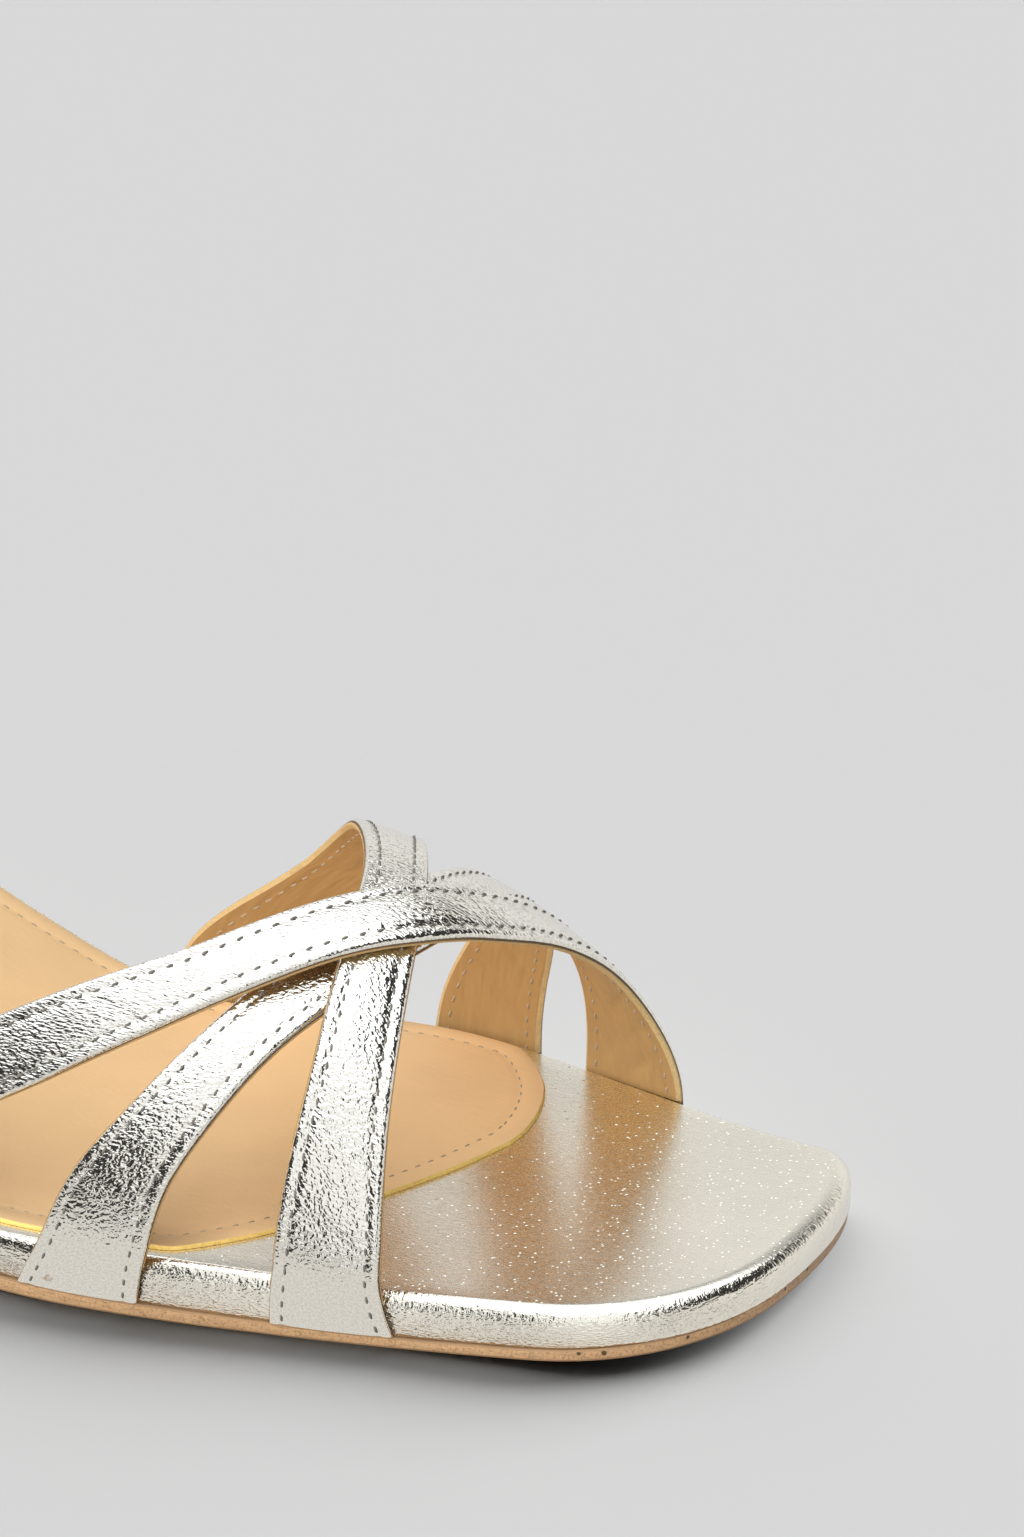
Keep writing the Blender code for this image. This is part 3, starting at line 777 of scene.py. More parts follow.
def tan_leather(name, color, on_strap, roughness=0.5, shaded_edge=None):
    """Smooth tan leather with fine pores and soft clouds of colour; on a strap it is wrinkled aslant, with
    painted shade in the troughs of the wrinkles, and it can take painted shade towards an edge.
    """
    skin = Finish(name, color, roughness, coat=0.03, coat_roughness=0.35, specular=0.2)
    place = skin.surface_millimetres() if on_strap else skin.object_millimetres()
    cloud = skin.noise(place, 0.07, 2.0)
    streak = skin.noise(skin.stretched(place, (0.5, 1.6, 0.5)), 1.0, 3.0)
    pores = skin.cells(place, 3.2, "SMOOTH_F1")
    fine = skin.noise(place, 5.0, 3.0)
    tint = skin.tinted(skin.ranged(cloud, 0.3, 0.7), color, shade(color, 0.93))
    layers = [(streak, 0.03), (pores, 0.012), (fine, 0.008)]
    if on_strap:
        turned = {"Vector": place, "Rotation": (0.0, 0.0, LINING_SLANT), "Scale": LINING_WRINKLES}
        wrinkle = skin.noise(skin.node("Mapping", turned).outputs["Vector"], 1.0, 1.0)
        layers.append((wrinkle, LINING_WRINKLE_DEPTH))
        # painted shade: the lining is darker in the troughs of its wrinkles
        tint = skin.tinted(skin.ranged(wrinkle, 0.56, 0.34), tint, shade(color, 0.93))
    skin.relief(*layers)
    tint = skin.tinted(skin.ranged(fine, 0.55, 0.8, 0.0, 0.25), tint, shade(color, 0.82))
    # painted shade: the sock is darker towards the sole's outer edge, where the straps and the platform shade
    # it
    if shaded_edge is not None:
        from_edge = skin.axis(skin.surface_millimetres(), "X")
        painted_edge_shade = skin.ranged(from_edge, *shaded_edge, 1.0, 0.0, "SMOOTHSTEP")
        tint = skin.tinted(painted_edge_shade, tint, shade(color, EDGE_SHADE))
    skin.set("Base Color", tint)
    skin.set("Roughness", skin.ranged(streak, 0.3, 0.7, roughness + 0.06, roughness - 0.06))
    return skin.material


def raw_edge(name, color):
    """Cut edge of a leather: fibrous and a little uneven."""
    edge = Finish(name, color, 0.7, specular=0.25)
    place = edge.object_millimetres()
    fibre = edge.noise(place, 2.6, 4.0, 0.65)
    edge.relief((fibre, 0.12))
    edge.set("Base Color", edge.tinted(edge.ranged(fibre, 0.35, 0.7), color, shade(color, 0.78)))
    edge.set("Roughness", edge.ranged(fibre, 0.3, 0.7, 0.75, 0.6))
    return edge.material


def thread_finish(name, color):
    """Twisted sewing thread."""
    thread = Finish(name, color, 0.55, specular=0.4)
    place = thread.object_millimetres()
    twist = thread.noise(place, 4.5, 2.0)
    thread.relief((twist, 0.05))
    # painted shade: the thread is darker in the troughs of its twist
    thread.set("Base Color", thread.tinted(thread.ranged(twist, 0.3, 0.7), shade(color, 0.7), color))
    thread.set("Roughness", thread.ranged(twist, 0.3, 0.7, 0.65, 0.45))
    return thread.material


def outsole_edge_finish(colours):
    """Trimmed edge of the sole leather: tan with fibres along it, small pits painted dark as their shade, and
    darker specks.
    """
    edge = Finish("outsole_edge", colours.outsole, 0.55, coat=0.08, coat_roughness=0.3, specular=0.35)
    place = edge.object_millimetres()
    fibre = edge.noise(edge.stretched(place, (0.5, 0.5, 2.6)), 1.0, 4.0, 0.6)
    speck = edge.noise(place, 3.0, 3.0, 0.6)
    apart = edge.stretched(place, (0.42, 0.42, 0.6))
    pit = edge.cells(apart, 1.0)
    keep = edge.node("SeparateColor", {0: edge.cells(apart, 1.0, "F1", "Color")}).outputs["Red"]
    pit_and_painted_shade = edge.times(edge.ranged(pit, 0.16, 0.06), edge.ranged(keep, 0.72, 0.76))
    edge.relief((fibre, 0.06), (pit_and_painted_shade, -0.2))
    tint = edge.tinted(edge.ranged(fibre, 0.3, 0.72), colours.outsole, shade(colours.outsole, 0.72))
    tint = edge.tinted(edge.ranged(speck, 0.5, 0.64, 0.0, 0.8), tint, shade(colours.outsole, 0.42))
    for s, y, z, radius in OUTSOLE_PITS:
        centre = tuple((np.array((-s - outsole_tuck(s), y, z)) + SHIFT).tolist())
        distance = edge.vector_math("DISTANCE", place, centre, "Value")
        pit_and_painted_shade = edge.math("MAXIMUM", pit_and_painted_shade, edge.ranged(distance, radius, radius * 0.6))
    # painted shade: the pits are coloured almost black, as the shade inside them
    edge.set("Base Color", edge.tinted(pit_and_painted_shade, tint, shade(colours.outsole, 0.12)))
    edge.set("Roughness", edge.ranged(fibre, 0.3, 0.7, 0.62, 0.48))
    return edge.material


def tread_and_seam_shade_finish(colours):
    """Underside of the sole leather and its darker lower rim; on the outsole's top rim and top face it is
    painted shade of the seam under the platform.
    """
    tread = Finish("outsole_tread", shade(colours.outsole, 0.5), 0.6, specular=0.3)
    place = tread.object_millimetres()
    cloud = tread.noise(place, 0.12, 3.0)
    fine = tread.noise(place, 2.4, 3.0)
    tread.relief((fine, 0.04))
    tread.set("Base Color", tread.tinted(tread.ranged(cloud, 0.3, 0.7), shade(colours.outsole, 0.55),
                                         shade(colours.outsole, 0.4)))
    tread.set("Roughness", tread.ranged(cloud, 0.3, 0.7, 0.66, 0.54))
    return tread.material


def rubber_finish(colours):
    """Dark top piece of the heel."""
    rubber = Finish("tip_rubber", colours.tip, 0.6, specular=0.35)
    place = rubber.object_millimetres()
    fine = rubber.noise(place, 1.8, 4.0, 0.6)
    rubber.relief((fine, 0.06))
    worn = rubber.ranged(fine, 0.35, 0.7)
    rubber.set("Base Color", rubber.tinted(worn, colours.tip, shade(colours.tip, 1.7)))
    rubber.set("Roughness", rubber.ranged(fine, 0.3, 0.7, 0.7, 0.5))
    return rubber.material


# What a user would change
def length_value(name, description, default):
    return FloatProperty(name=name, description=description, default=default, min=0.0, unit="LENGTH",
                         precision=5)


def light_value(name, description, default):
    return FloatProperty(name=name, description=description, default=default, min=0.0)


def colour_value(name, description, default):
    return FloatVectorProperty(name=name, description=description, default=default, size=4, min=0.0, max=1.0,
                               subtype="COLOR")


class SandalSizes(bpy.types.PropertyGroup):
    """Sizes of leather, thread and edges."""
    leather: length_value("Strap leather", "Thickness of the foil leather of a strap", 0.00075)
    lining: length_value("Lining", "Thickness of the lining of a strap", 0.00075)
    crown: length_value("Crown", "How far the middle of a strap stands proud of its edges", 0.0002)
    stitch_margin: length_value("Stitch margin", "Strap edge to the middle of its stitch row", 0.0019)
    stitch_pitch: length_value("Stitch pitch", "Distance from stitch to stitch", 0.00236)
    stitch_length: length_value("Stitch length", "Visible length of one stitch", 0.00105)
    thread_radius: length_value("Thread radius", "Half thickness of the sewing thread", 0.00017)
    raw_edge: length_value("Raw edge", "Width of the slanted cut edge of the lining", 0.0005)
    groove: length_value("Groove", "Depth of the dip along a stitch row", 0.00016)
    sock_margin: length_value("Sock margin", "Sock edge to the middle of its stitch row", 0.0032)
    sock_skive: length_value("Sock skive", "How far the sock's cut edge slopes outward", 0.00015)


class SandalColours(bpy.types.PropertyGroup):
    """Colours of the finishes."""
    strap_foil: colour_value("Strap foil", "Silver foil of the straps", (0.97, 0.925, 0.825, 1.0))
    wrap_foil: colour_value("Wrap foil", "Champagne foil of the platform and heel", (0.97, 0.915, 0.79, 1.0))
    # partly the lining's own darker tan and partly painted shade: a darkened copy of the sock's tan for the
    # straps' shaded insides
    lining: colour_value("Lining", "Tan lining leather of the straps", (0.43, 0.257, 0.102, 1.0))
    sock: colour_value("Sock", "Tan leather of the sock", (0.95, 0.64, 0.335, 1.0))
    sock_edge: colour_value("Sock edge", "Cut edge of the sock", (0.98, 0.68, 0.20, 1.0))
    lining_edge: colour_value("Lining edge", "Cut edge of the lining", (0.64, 0.45, 0.21, 1.0))
    # partly the leather's own dark cut edge and partly painted shade that outlines each strap, since the
    # straps throw no shadow in the front fill
    leather_edge: colour_value("Leather edge", "Thin cut edge of the foil leather", (0.17, 0.12, 0.08, 1.0))
    strap_thread: colour_value("Strap thread", "Thread on the straps", (0.21, 0.19, 0.165, 1.0))
    sock_thread: colour_value("Sock thread", "Thread on the sock and the lining", (0.46, 0.35, 0.24, 1.0))
    outsole: colour_value("Outsole", "Edge of the sole leather", (0.66, 0.40, 0.205, 1.0))
    tip: colour_value("Top piece", "Rubber under the heel", (0.035, 0.028, 0.024, 1.0))
    glue: colour_value("Glue mark", "Small brown mark at a strap's foot", (0.40, 0.25, 0.12, 1.0))


class SandalStudio(bpy.types.PropertyGroup):
    """Floor and light of the stage."""
    floor: colour_value("Floor", "Plain pale floor", (0.68, 0.68, 0.68, 1.0))
    softbox: light_value("Softbox", "Brightness of the big light over the camera", 1.7)
    softbox_tint: colour_value("Softbox tint", "Colour of the big light", (0.88, 0.93, 1.0, 1.0))
    mirrored_floor: light_value("Mirrored floor", "Brightness of the floor in the foil", 0.72)
    backdrop: light_value("Backdrop", "Brightness of the pale wall behind the shoe", 0.8)
    dim: light_value("Dark part", "Brightness of the unlit parts of the studio", 0.04)
    floor_light: light_value("Floor light", "Strength of the soft light on the floor", 5.2)
    heel_light: light_value("Heel light", "Strength of the light on the floor from the heel's side", 1.9)
    back_light: light_value("Back light", "Strength of the soft light from behind the shoe", 0.2)
    front_fill: light_value("Front fill", "Strength of the soft light from the camera's side", 4.9)


# Sole
def build_outsole(colours):
    ring = sole_ring(sole_places())
    ring[:, 0] += outsole_tuck(ring[:, 0])
    low_round = OUTSOLE_CHAMFER * OUTSOLE_LOW_ROUND
    top_round = OUTSOLE_CHAMFER * OUTSOLE_TOP_ROUND
    rings = [
        raised(inset_ring(ring, OUTSOLE_CHAMFER), tread_height),
        raised(inset_ring(ring, low_round), lambda s: tread_height(s) + low_round),
        raised(ring, lambda s: tread_height(s) + OUTSOLE_CHAMFER),
        raised(ring, lambda s: outsole_top(s) - top_round),
        raised(inset_ring(ring, top_round), outsole_top),
    ]
    points, faces, bands = ring_solid(rings, 1)
    # the top rim and top face take the darker tread finish as painted shade of the seam under the platform
    finish_of_band = np.array((1, 1, 0, 1, 1, 1))
    finishes = (outsole_edge_finish(colours), tread_and_seam_shade_finish(colours))
    piece = add_piece("outsole_leather", points, faces, finishes, ("outsole",),
                      finish_of_band[bands])
    piece.visible_diffuse = False  # so that its tan doesn't colour the floor's shadow


def ring_places(rings, count, start):
    """Places for a pattern on stacked rings: round each ring from a start point, and up the rings."""
    round_it = np.roll(run_along(np.roll(rings[-1], -start, 0)), start)
    climb = np.concatenate(([0.0], np.cumsum([np.abs(b - a).max() for a, b in zip(rings, rings[1:])])))
    places = np.stack(np.broadcast_arrays(round_it[None, :], climb[:, None]), -1).reshape(-1, 2)
    return np.concatenate((places, np.zeros((count - len(places), 2))))


def build_platform(colours):
    ring = sole_ring(sole_places())
    outer = np.arange(len(ring)) < len(ring) // 2
    round_of = {name: table_curve(RIM_SECTIONS, RIM_COLUMNS, name)(ring[:, 0]) for name in RIM_COLUMNS[1:]}
    inset = np.where(outer, round_of["outer_inset"], round_of["inner_inset"])
    drop = np.where(outer, round_of["outer_drop"], round_of["inner_drop"])
    rings = [
        raised(inset_ring(ring, FOOTBED_SETBACK + GAP), lambda s: outsole_top(s) + STACK_GAP),
        raised(inset_ring(ring, FOOTBED_SETBACK), lambda s: outsole_top(s) + 2 * GAP),
    ]
    for turn in np.linspace(0.0, math.pi / 2, RIM_STEPS + 1):
        plan = inset_ring(ring, (FOOTBED_SETBACK + inset * (1 - math.cos(turn)))[:, None])
        rings.append(raised(plan, lambda s: footbed_top(s) - drop * (1 - math.sin(turn))))
    points, faces, _ = ring_solid(rings, CAP_COLUMNS, footbed_top)
    uvs = ring_places(rings, len(points), len(ring) // 2)
    add_piece("platform_wrap", points, faces, (wrap_foil(colours),), ("footbed",), uvs=uvs)


def sock_ring():
    """Plan outline of the sock: its front arc, then a margin inside the sole's edge."""
    tip = SOCK_FRONT[0][0]
    front_end = SOCK_FRONT[-1][0]
    back = LENGTH - SOCK_LATERAL_INSET
    front = tip + (front_end - tip) * np.linspace(0, 1, SOCK_FRONT_STEPS, endpoint=False) ** 2
    rest = sole_places()
    rest = front_end + (rest[rest > front_end] - front_end) * (back - front_end) / (LENGTH - front_end)
    places = np.concatenate((front, rest))
    heel_start = LENGTH - HEEL_ROUND
    scale = (LENGTH - heel_start) / (back - heel_start)
    edge = np.where(places > heel_start, heel_start + (places - heel_start) * scale, places)
    lateral = -lateral_edge(edge) - SOCK_LATERAL_INSET * heel_end(edge)
    medial = medial_edge(edge) - SOCK_MEDIAL_INSET * heel_end(edge)
    arc = places < front_end
    lateral = np.where(arc, np.minimum(lateral, sock_front_lateral(places)), lateral)
    medial = np.where(arc, np.minimum(medial, sock_front_medial(places)), medial)
    return joined_sides(np.stack((places, -lateral), 1), np.stack((places, medial), 1))


def build_sock(sizes, colours):
    ring = sock_ring()
    margin = sizes.sock_margin / MM
    groove = sizes.groove / MM * SOCK_GROOVE
    skive = sizes.sock_skive / MM
    top = SOCK_RISE
    profile = (
        (-skive, 0.04),
        (-skive * 0.8, 0.25),
        (0.0, top - 0.3),
        (0.08, top - 0.1),
        (0.3, top - 0.02),
        (margin - 3 * GROOVE_WIDTH, top),
        (margin - GROOVE_WIDTH, top - groove * 0.4),
        (margin, top - groove),
        (margin + GROOVE_WIDTH, top - groove * 0.4),
        (margin + 3 * GROOVE_WIDTH, top),
    )
    rings = []
    for inset, height in profile:
        rings.append(raised(inset_ring(ring, inset), lambda s: footbed_top(s) + height))
    points, faces, bands = ring_solid(rings, CAP_COLUMNS, lambda s: footbed_top(s) + top)
    finish_of_band = np.zeros(len(rings) + 1, np.int32)
    finish_of_band[:3] = 1
    # distance from the sole's outer edge, which sets the sock's painted shade
    uvs = np.stack((points[:, 1] - lateral_edge(-points[:, 0]), points[:, 0]), 1)
    finishes = (
        tan_leather("sock_tan", colours.sock, False, shaded_edge=SOCK_SHADE),
        raw_edge("sock_edge", colours.sock_edge),
    )
    add_piece("sock", points, faces, finishes, ("insole",), finish_of_band[bands], uvs)

    line = raised(inset_ring(ring, margin), lambda s: footbed_top(s) + top - groove)
    line = np.concatenate((line, line[:1]))
    run = run_along(line)
    marks, share = stitch_marks(run[-1], sizes)
    centres = np.stack([np.interp(marks, run, line[:, i]) for i in range(3)], -1)
    normals = np.zeros_like(centres)
    normals[..., 2] = 1.0
    radius = sizes.thread_radius / MM * SOCK_THREAD
    centres += normals * stitch_arch(share, radius)[..., None]
    points, faces = thread_solid(centres, normals, radius)
    add_piece("sock_stitches", points, faces, (thread_finish("sock_thread", colours.sock_thread),))


# Straps
def leather_height(strap, sizes, creases, along, across):
    """Height of a strap's face over its lining's inner face."""
    width = strap.width(along)
    edge = np.minimum(across, width - across)
    roll = np.clip(1 - edge / ROLL_RADIUS, 0.0, 1.0)
    height = (sizes.lining + sizes.leather * np.sqrt(1 - roll ** 2)) / MM
    height = height + sizes.crown / MM * (1 - (2 * across / width - 1) ** 2)
    height = height + BEAD_HEIGHT * np.exp(-((edge - BEAD_PLACE) / BEAD_WIDTH) ** 2)
    pull = 0.5 + 0.5 * np.cos(2 * math.pi * along / (sizes.stitch_pitch / MM))
    dip = np.exp(-((edge - sizes.stitch_margin / MM) / GROOVE_WIDTH) ** 2)
    height = height - sizes.groove / MM * dip * (GROOVE_SHALLOW + (1 - GROOVE_SHALLOW) * pull)
    return height - crease_depth(strap, creases, along, across)


def strap_rows(strap, start=0.0, end=None):
    end = strap.length if end is None else end
    return np.linspace(start, end, round((end - start) / ROW_STEP) + 1)[:, None]


def cut_edge_faces(rows, columns, edges):
    """Finish of each face of a strap's tube: the second one on its cut edges, and the first elsewhere."""
    around = np.zeros(columns, np.int32)
    around[list(edges)] = 1
    return np.concatenate((np.tile(around, rows - 1), (0, 0)))


def build_strap_leather(name, strap, sizes, finishes):
    along = strap_rows(strap)
    width = strap.width(along)
    near = np.array(EDGE_PLACES)[None, :]
    middle = np.linspace(0.0, 1.0, FACE_COLUMNS + 1)[None, 1:-1]
    inner = near[:, -1:] + (width - 2 * near[:, -1:]) * middle
    face = np.concatenate((near + 0 * width, inner, width - near[:, ::-1]), 1)
    height = leather_height(strap, sizes, STRAPS[name]["creases"], along, face)
    back = width * np.linspace(1.0, 0.0, BACK_COLUMNS + 1)[None, 1:-1]
    across = np.concatenate((face, back), 1)
    height = np.concatenate((height, 0 * back + sizes.lining / MM), 1)
    along = along + 0 * across
    points, normal = strap.place(along, across)
    points, faces = tube_solid(points + normal * height[..., None])
    uvs = np.stack((along, across), -1).reshape(-1, 2)
    face_finish = cut_edge_faces(*across.shape, (0, face.shape[1] - 2))
    add_piece(name + "_leather", points, faces, finishes, ("upper",), face_finish, uvs, 60.0)


def build_strap_lining(name, strap, sizes, finishes):
    along = strap_rows(strap, strap.at_girth(LINING_GIRTH), strap.at_girth(180.0 - LINING_GIRTH))
    width = strap.width(along)
    bevel = sizes.raw_edge / MM
    top = sizes.lining / MM - LINING_CLEARANCE
    inner = [(0.0, LINING_INSET, top * LINING_EDGE_SHARE)]
    inner += [(share, LINING_INSET + bevel, 0.0) for share in np.linspace(0.0, 1.0, LINING_COLUMNS + 1)]
    inner += [(1.0, LINING_INSET, top * LINING_EDGE_SHARE)]
    outer = [(share, LINING_INSET, top) for share in (1.0, 0.66, 0.33, 0.0)]
    places = np.array(inner + outer)[None, :, :]
    across = places[..., 1] + (width - 2 * places[..., 1]) * places[..., 0]
    along = along + 0 * across
    height = places[..., 2] + 0 * across
    dent = crease_depth(strap, STRAPS[name]["lining_creases"], along, across)
    height = height + np.where(height <= 0.0, dent, 0.0)
    points, normal = strap.place(along, across)
    points, faces = tube_solid(points + normal * height[..., None])
    face_finish = cut_edge_faces(*across.shape, (0, len(inner) - 2, len(inner) - 1, across.shape[1] - 1))
    uvs = np.stack((along, across), -1).reshape(-1, 2)
    add_piece(name + "_lining", points, faces, finishes, (), face_finish, uvs)


def build_strap_stitches(name, strap, sizes, outer_finish, lining_finish):
    marks, share = stitch_marks(strap.length, sizes)
    margin = sizes.stitch_margin / MM
    radius = sizes.thread_radius / MM
    slant = THREAD_TILT * share * sizes.stitch_length / MM
    for side, finish in (("outer", outer_finish), ("lining", lining_finish)):
        centres = []
        normals = []
        for across in (margin + slant, strap.width(marks) - margin + slant):
            base, normal = strap.place(marks, across)
            if side == "outer":
                height = leather_height(strap, sizes, STRAPS[name]["creases"], marks, across)
                base = base + normal * height[..., None]
            else:
                normal = -normal
            centres.append(base + normal * stitch_arch(share, radius)[..., None])
            normals.append(normal)
        points, faces = thread_solid(np.concatenate(centres), np.concatenate(normals), radius)
        add_piece(name + "_" + side + "_stitches", points, faces, (finish,))


SCUFF = {"low_strap": (2.0, 12.0)}   # small glue mark at a strap's foot: along and across it


def build_straps(sizes, colours):
    plain = strap_foil(colours)
    linings = (tan_leather("lining_tan", colours.lining, True), raw_edge("lining_edge", colours.lining_edge))
    # the foil leather's cut edge is dark, partly its own edge colour and partly painted shade that outlines
    # each strap
    leather_edge = raw_edge("leather_edge", colours.leather_edge)
    outer_thread = thread_finish("strap_thread", colours.strap_thread)
    lining_thread = thread_finish("lining_thread", colours.sock_thread)
    for name in STRAPS:
        strap = StrapForm(name)
        finish = strap_foil(colours, SCUFF[name]) if name in SCUFF else plain
        build_strap_leather(name, strap, sizes, (finish, leather_edge))
        build_strap_lining(name, strap, sizes, linings)
        build_strap_stitches(name, strap, sizes, outer_thread, lining_thread)


# Heel
def heel_scale(share):
    return 1 + (HEEL_FOOT_SCALE - 1) * share - HEEL_WAIST * math.sin(math.pi * share)


def heel_outline():
    side_steps, back_steps = HEEL_STEPS
    side = np.linspace(HEEL_BREAST, LENGTH - HEEL_ROUND, side_steps, endpoint=False)
    return inset_ring(sole_ring(np.concatenate((side, heel_arc(back_steps)))), HEEL_INSET)


def heel_ring(outline, scale, height):
    """A plan outline scaled about the heel's centre, at a height that may follow the seat."""
    x = -(HEEL_CENTRE + (outline[:, 0] - HEEL_CENTRE) * scale)
    return np.stack((x, outline[:, 1] * scale, height + 0 * x), 1)


def build_heel(colours):
    outline = heel_outline()
    seat = tread_height(outline[:, 0]) - STACK_GAP
    foot = TIP_THICKNESS + STACK_GAP
    rings = []
    for share in np.linspace(1.0, 0.0, HEEL_RINGS):
        rings.append(heel_ring(outline, heel_scale(share), foot + (seat - foot) * (1 - share)))
    points, faces, _ = ring_solid(rings, 1)
    uvs = ring_places(rings, len(points), 0)
    add_piece("heel_wrap", points, faces, (wrap_foil(colours),), ("heel",), uvs=uvs)

    scale = heel_scale(1.0)
    slim = scale * (1 - TIP_CHAMFER / HEEL_ROUND)
    shoulder = TIP_THICKNESS - TIP_CHAMFER / 2
    profile = ((slim, 0.0), (scale, TIP_CHAMFER), (scale, shoulder), (slim, TIP_THICKNESS))
    rings = [heel_ring(outline, size, height) for size, height in profile]
    points, faces, _ = ring_solid(rings, 1)
    add_piece("heel_top_piece", points, faces, (rubber_finish(colours),), ("heel_tip",))


# Stage
FLOOR_HALF = 30.0
FLOOR_DROP = 0.00004
SET_FRONT = (0.115, 0.15)        # the floor is dark in the foil from here to the camera's side
SET_SIDE = (-0.02, -0.045)       # and from here to the left
# Lights of the set as the foil sees them: degrees from the camera-side horizon over the zenith to the far
# horizon, and sideways shares from -1 at the left to 1 at the right
CARD_START = (-8.0, 4.0)
CARD_LEFT = (-0.56, -0.48)
CARD_RIGHT = (0.38, 0.28)
CARD_SHARE = 0.6
SOFTBOX_START = (40.0, 60.0)
SOFTBOX_LEFT = (-0.88, -0.70)
SOFTBOX_RIGHT = (0.50, 0.42)
SOFTBOX_END = (141.0, 124.0)
BACKDROP_START = (142.0, 153.0)
SWEEP_HEIGHT = (0.38, 0.24)      # the backdrop's paper runs on round the right side, up to this height
SWEEP_LEFT = (0.48, 0.62)
FLOOR_LAMPS = ("floor_light", "heel_light")
LAMPS = (                        # name, and azimuth, elevation and angle in degrees
    ("floor_light", 155.0, 22.0, 44.0),
    ("heel_light", 215.0, 40.0, 90.0),
    ("back_light", 150.0, 58.0, 90.0),
    ("front_fill", -12.0, 38.0, 100.0),
)
SHADOW_PIECES = ("outsole_leather", "platform_wrap", "sock", "heel_wrap", "heel_top_piece")


def horizontal(azimuth):
    """Direction from the shoe towards a viewer at an azimuth: 0 looks along +Y."""
    return Vector((math.sin(azimuth), -math.cos(azimuth), 0.0))


def rightward(azimuth):
    """Direction to the right of a viewer at an azimuth."""
    return Vector((math.cos(azimuth), math.sin(azimuth), 0.0))


def floor_paper(studio):
    """Pale paper. Glossy rays see a painted glow in its place instead of its lit shading: evenly bright, and
    dark beyond the front of the set.
    """
    paper = Finish("floor_paper", studio.floor, 0.9, specular=0.0)
    place = paper.node("TexCoord", {}).outputs["Object"]
    fibre = paper.noise(place, 900.0, 2.0)
    paper.set("Roughness", paper.ranged(fibre, 0.3, 0.7, 0.86, 0.94))
    dark = 1.0
    for way, ends in ((horizontal(CAMERA_AZIMUTH), SET_FRONT), (rightward(CAMERA_AZIMUTH), SET_SIDE)):
        reach = paper.vector_math("DOT_PRODUCT", place, way, "Value")
        dark = paper.times(paper.ranged(reach, *ends, kind="SMOOTHSTEP"), dark)
    # painted reflection: glossy rays see the floor as this glow, so the foil never mirrors the floor's shadow
    glow = paper.ranged(dark, 0.0, 1.0, studio.mirrored_floor, studio.dim)
    mirrored = paper.node("Emission", {"Strength": glow}).outputs["Emission"]
    in_foil = paper.node("LightPath", {}).outputs["Is Glossy Ray"]
    both = paper.node("MixShader", {0: in_foil, 1: paper.shader.outputs["BSDF"], 2: mirrored})
    paper.tree.links.new(both.outputs["Shader"], paper.tree.nodes["Material Output"].inputs["Surface"])
    return paper.material


def build_floor(studio):
    data = bpy.data.meshes.new("floor")
    corners = [(-1, -1), (1, -1), (1, 1), (-1, 1)]
    data.from_pydata([(x * FLOOR_HALF, y * FLOOR_HALF, -FLOOR_DROP) for x, y in corners], [], [(0, 1, 2, 3)])
    data.materials.append(floor_paper(studio))
    floor = bpy.data.objects.new("floor", data)
    bpy.context.scene.collection.objects.link(floor)


class WorldNodes(Finish):
    """The same short ways to add nodes, in the world's tree."""

    def __init__(self, world):
        world.use_nodes = True
        self.tree = world.node_tree
        self.tree.nodes.clear()


def build_world(studio):
    """The studio around the shoe: a softbox over the camera, a pale wall behind and dark parts between."""
    world = bpy.data.worlds.new("studio")
    world.cycles_visibility.diffuse = False
    bpy.context.scene.world = world
    sky = WorldNodes(world)
    direction = sky.node("TexCoord", {}).outputs["Generated"]
    towards = sky.vector_math("DOT_PRODUCT", direction, horizontal(CAMERA_AZIMUTH), "Value")
    sideways = sky.vector_math("DOT_PRODUCT", direction, rightward(CAMERA_AZIMUTH), "Value")
    up = sky.axis(direction, "Z")
    arch = sky.times(sky.math("ARCTAN2", up, towards), 180.0 / math.pi)
    parts = []
    for start, left, right_end, strength in (
        (CARD_START, CARD_LEFT, CARD_RIGHT, studio.softbox * CARD_SHARE),
        (SOFTBOX_START, SOFTBOX_LEFT, SOFTBOX_RIGHT, studio.softbox),
    ):
        part = sky.ranged(arch, *start, 0.0, strength, "SMOOTHSTEP")
        for value, ends in ((sideways, left), (sideways, right_end), (arch, SOFTBOX_END)):
            part = sky.times(part, sky.ranged(value, *ends, kind="SMOOTHSTEP"))
        parts.append(part)
    box = sky.math("MAXIMUM", *parts)
    wall = sky.times(sky.ranged(arch, *BACKDROP_START, kind="SMOOTHSTEP"), studio.backdrop)
    sweep = sky.times(sky.ranged(up, *SWEEP_HEIGHT, kind="SMOOTHSTEP"),
                      sky.ranged(sideways, *SWEEP_LEFT, 0.0, studio.backdrop, "SMOOTHSTEP"))
    light = sky.math("ADD", sky.math("ADD", box, sky.math("MAXIMUM", wall, sweep)), studio.dim)
    cool = sky.tinted(sky.ranged(box, 0.0, studio.softbox), (1.0, 1.0, 1.0, 1.0), studio.softbox_tint)
    seen = sky.node("LightPath", {}).outputs["Is Camera Ray"]
    shown = sky.node("Mix", {"Factor": seen, "A": light, "B": studio.floor[0]}, data_type="FLOAT")
    background = sky.node("Background", {"Color": cool, "Strength": shown.outputs["Result"]})
    output = sky.node("OutputWorld", {})
    sky.tree.links.new(background.outputs["Background"], output.inputs["Surface"])


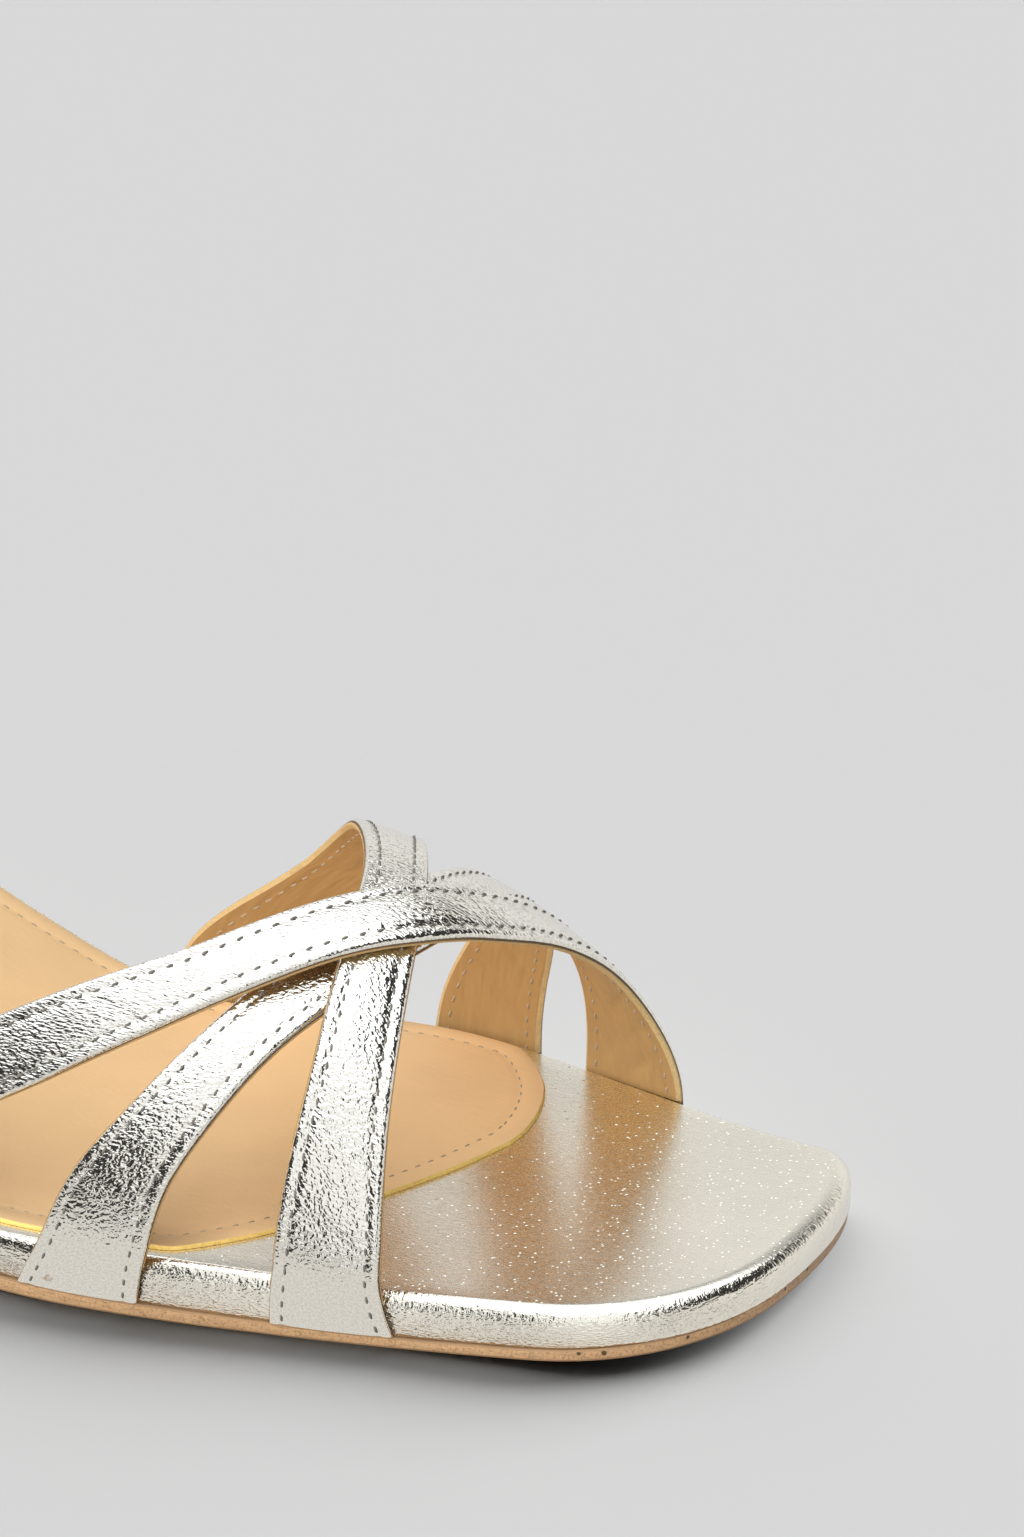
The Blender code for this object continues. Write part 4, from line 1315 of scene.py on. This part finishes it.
def build_lamps(studio):
    """Broad soft lights on the floor and the matt leather; the foil mirrors the studio around them instead.

    The floor has two lights of its own, and the other lamps are kept off it. The straps throw no shadow, but
    in the back light they do.
    """
    solids = bpy.data.collections.new("shadow_pieces")
    for name in SHADOW_PIECES:
        solids.objects.link(bpy.data.objects[name])
    ground = bpy.data.collections.new("lit_floor")
    shoe = bpy.data.collections.new("lit_pieces")
    for item in bpy.context.scene.objects:
        if item.type == "MESH":
            (ground if item.name == "floor" else shoe).objects.link(item)
    for name, azimuth, elevation, angle in LAMPS:
        data = bpy.data.lights.new(name, "SUN")
        data.energy = getattr(studio, name)
        data.angle = math.radians(angle)
        lamp = bpy.data.objects.new(name, data)
        rise = math.radians(elevation)
        towards = horizontal(math.radians(azimuth)) * math.cos(rise) + Vector((0, 0, math.sin(rise)))
        lamp.rotation_euler = towards.to_track_quat("Z", "Y").to_euler()
        lamp.visible_glossy = False
        bpy.context.scene.collection.objects.link(lamp)
        lamp.light_linking.receiver_collection = ground if name in FLOOR_LAMPS else shoe
        if name != "back_light":
            lamp.light_linking.blocker_collection = solids


def build_camera():
    """The camera stands where the anchor falls on its pixel of the photograph's frame."""
    ahead = -horizontal(CAMERA_AZIMUTH)
    right = rightward(CAMERA_AZIMUTH)
    level = Vector((0.0, 0.0, 1.0))
    forward = ahead * math.cos(CAMERA_ELEVATION) - level * math.sin(CAMERA_ELEVATION)
    up = ahead * math.sin(CAMERA_ELEVATION) + level * math.cos(CAMERA_ELEVATION)
    across = (ANCHOR_PIXEL[0] - IMAGE_SIZE[0] / 2) / FOCAL_PIXELS
    down = (ANCHOR_PIXEL[1] - IMAGE_SIZE[1] / 2) / FOCAL_PIXELS
    anchor = Vector((np.array(ANCHOR) + SHIFT) * MM)
    place = anchor - (forward + right * across - up * down) * CAMERA_DISTANCE
    data = bpy.data.cameras.new("camera")
    data.sensor_width = SENSOR
    data.lens = SENSOR * FOCAL_PIXELS / max(IMAGE_SIZE)
    data.clip_start = 0.05
    data.clip_end = 100.0
    camera = bpy.data.objects.new("camera", data)
    turn = Matrix((right, up, -forward)).transposed().to_4x4()
    camera.matrix_world = Matrix.Translation(place) @ turn
    bpy.context.scene.collection.objects.link(camera)
    bpy.context.scene.camera = camera


# Operators
class SANDAL_OT_outsole(bpy.types.Operator):
    """Make the thin leather outsole with its trimmed edge"""
    bl_idname = "sandal.outsole"
    bl_label = "Outsole"

    def execute(self, context):
        build_outsole(context.scene.sandal_colours)
        return {"FINISHED"}


class SANDAL_OT_platform(bpy.types.Operator):
    """Make the platform wrapped in champagne foil leather"""
    bl_idname = "sandal.platform"
    bl_label = "Platform wrap"

    def execute(self, context):
        build_platform(context.scene.sandal_colours)
        return {"FINISHED"}


class SANDAL_OT_sock(bpy.types.Operator):
    """Make the tan sock with its stitch row"""
    bl_idname = "sandal.sock"
    bl_label = "Sock"

    def execute(self, context):
        build_sock(context.scene.sandal_sizes, context.scene.sandal_colours)
        return {"FINISHED"}


class SANDAL_OT_straps(bpy.types.Operator):
    """Make the three straps: foil leather, lining and stitches"""
    bl_idname = "sandal.straps"
    bl_label = "Straps"

    def execute(self, context):
        build_straps(context.scene.sandal_sizes, context.scene.sandal_colours)
        return {"FINISHED"}


class SANDAL_OT_heel(bpy.types.Operator):
    """Make the wrapped block heel and its top piece"""
    bl_idname = "sandal.heel"
    bl_label = "Heel"

    def execute(self, context):
        build_heel(context.scene.sandal_colours)
        return {"FINISHED"}


class SANDAL_OT_stage(bpy.types.Operator):
    """Make the floor, the studio light and the camera"""
    bl_idname = "sandal.stage"
    bl_label = "Stage"

    def execute(self, context):
        studio = context.scene.sandal_studio
        build_floor(studio)
        build_world(studio)
        build_lamps(studio)
        build_camera()
        context.scene.view_settings.view_transform = "Standard"
        return {"FINISHED"}


class SANDAL_PT_panel(bpy.types.Panel):
    """Sizes, colours and steps of the sandal"""
    bl_label = "Sandal"
    bl_idname = "SANDAL_PT_panel"
    bl_space_type = "VIEW_3D"
    bl_region_type = "UI"
    bl_category = "Sandal"

    def draw(self, context):
        for operator in OPERATORS:
            self.layout.operator(operator.bl_idname)
        for group in (context.scene.sandal_sizes, context.scene.sandal_colours, context.scene.sandal_studio):
            box = self.layout.box()
            for name in group.__annotations__:
                box.prop(group, name)


GROUPS = {"sandal_sizes": SandalSizes, "sandal_colours": SandalColours, "sandal_studio": SandalStudio}
OPERATORS = (
    SANDAL_OT_outsole,
    SANDAL_OT_platform,
    SANDAL_OT_sock,
    SANDAL_OT_straps,
    SANDAL_OT_heel,
    SANDAL_OT_stage,
)


def register():
    for kind in (*GROUPS.values(), *OPERATORS, SANDAL_PT_panel):
        bpy.utils.register_class(kind)
    for name, group in GROUPS.items():
        setattr(bpy.types.Scene, name, PointerProperty(type=group))


def unregister():
    for name in GROUPS:
        delattr(bpy.types.Scene, name)
    for kind in reversed((*GROUPS.values(), *OPERATORS, SANDAL_PT_panel)):
        bpy.utils.unregister_class(kind)


def main():
    register()
    bpy.ops.sandal.outsole()
    bpy.ops.sandal.platform()
    bpy.ops.sandal.sock()
    bpy.ops.sandal.straps()
    bpy.ops.sandal.heel()
    bpy.ops.sandal.stage()


if __name__ == "__main__":
    main()
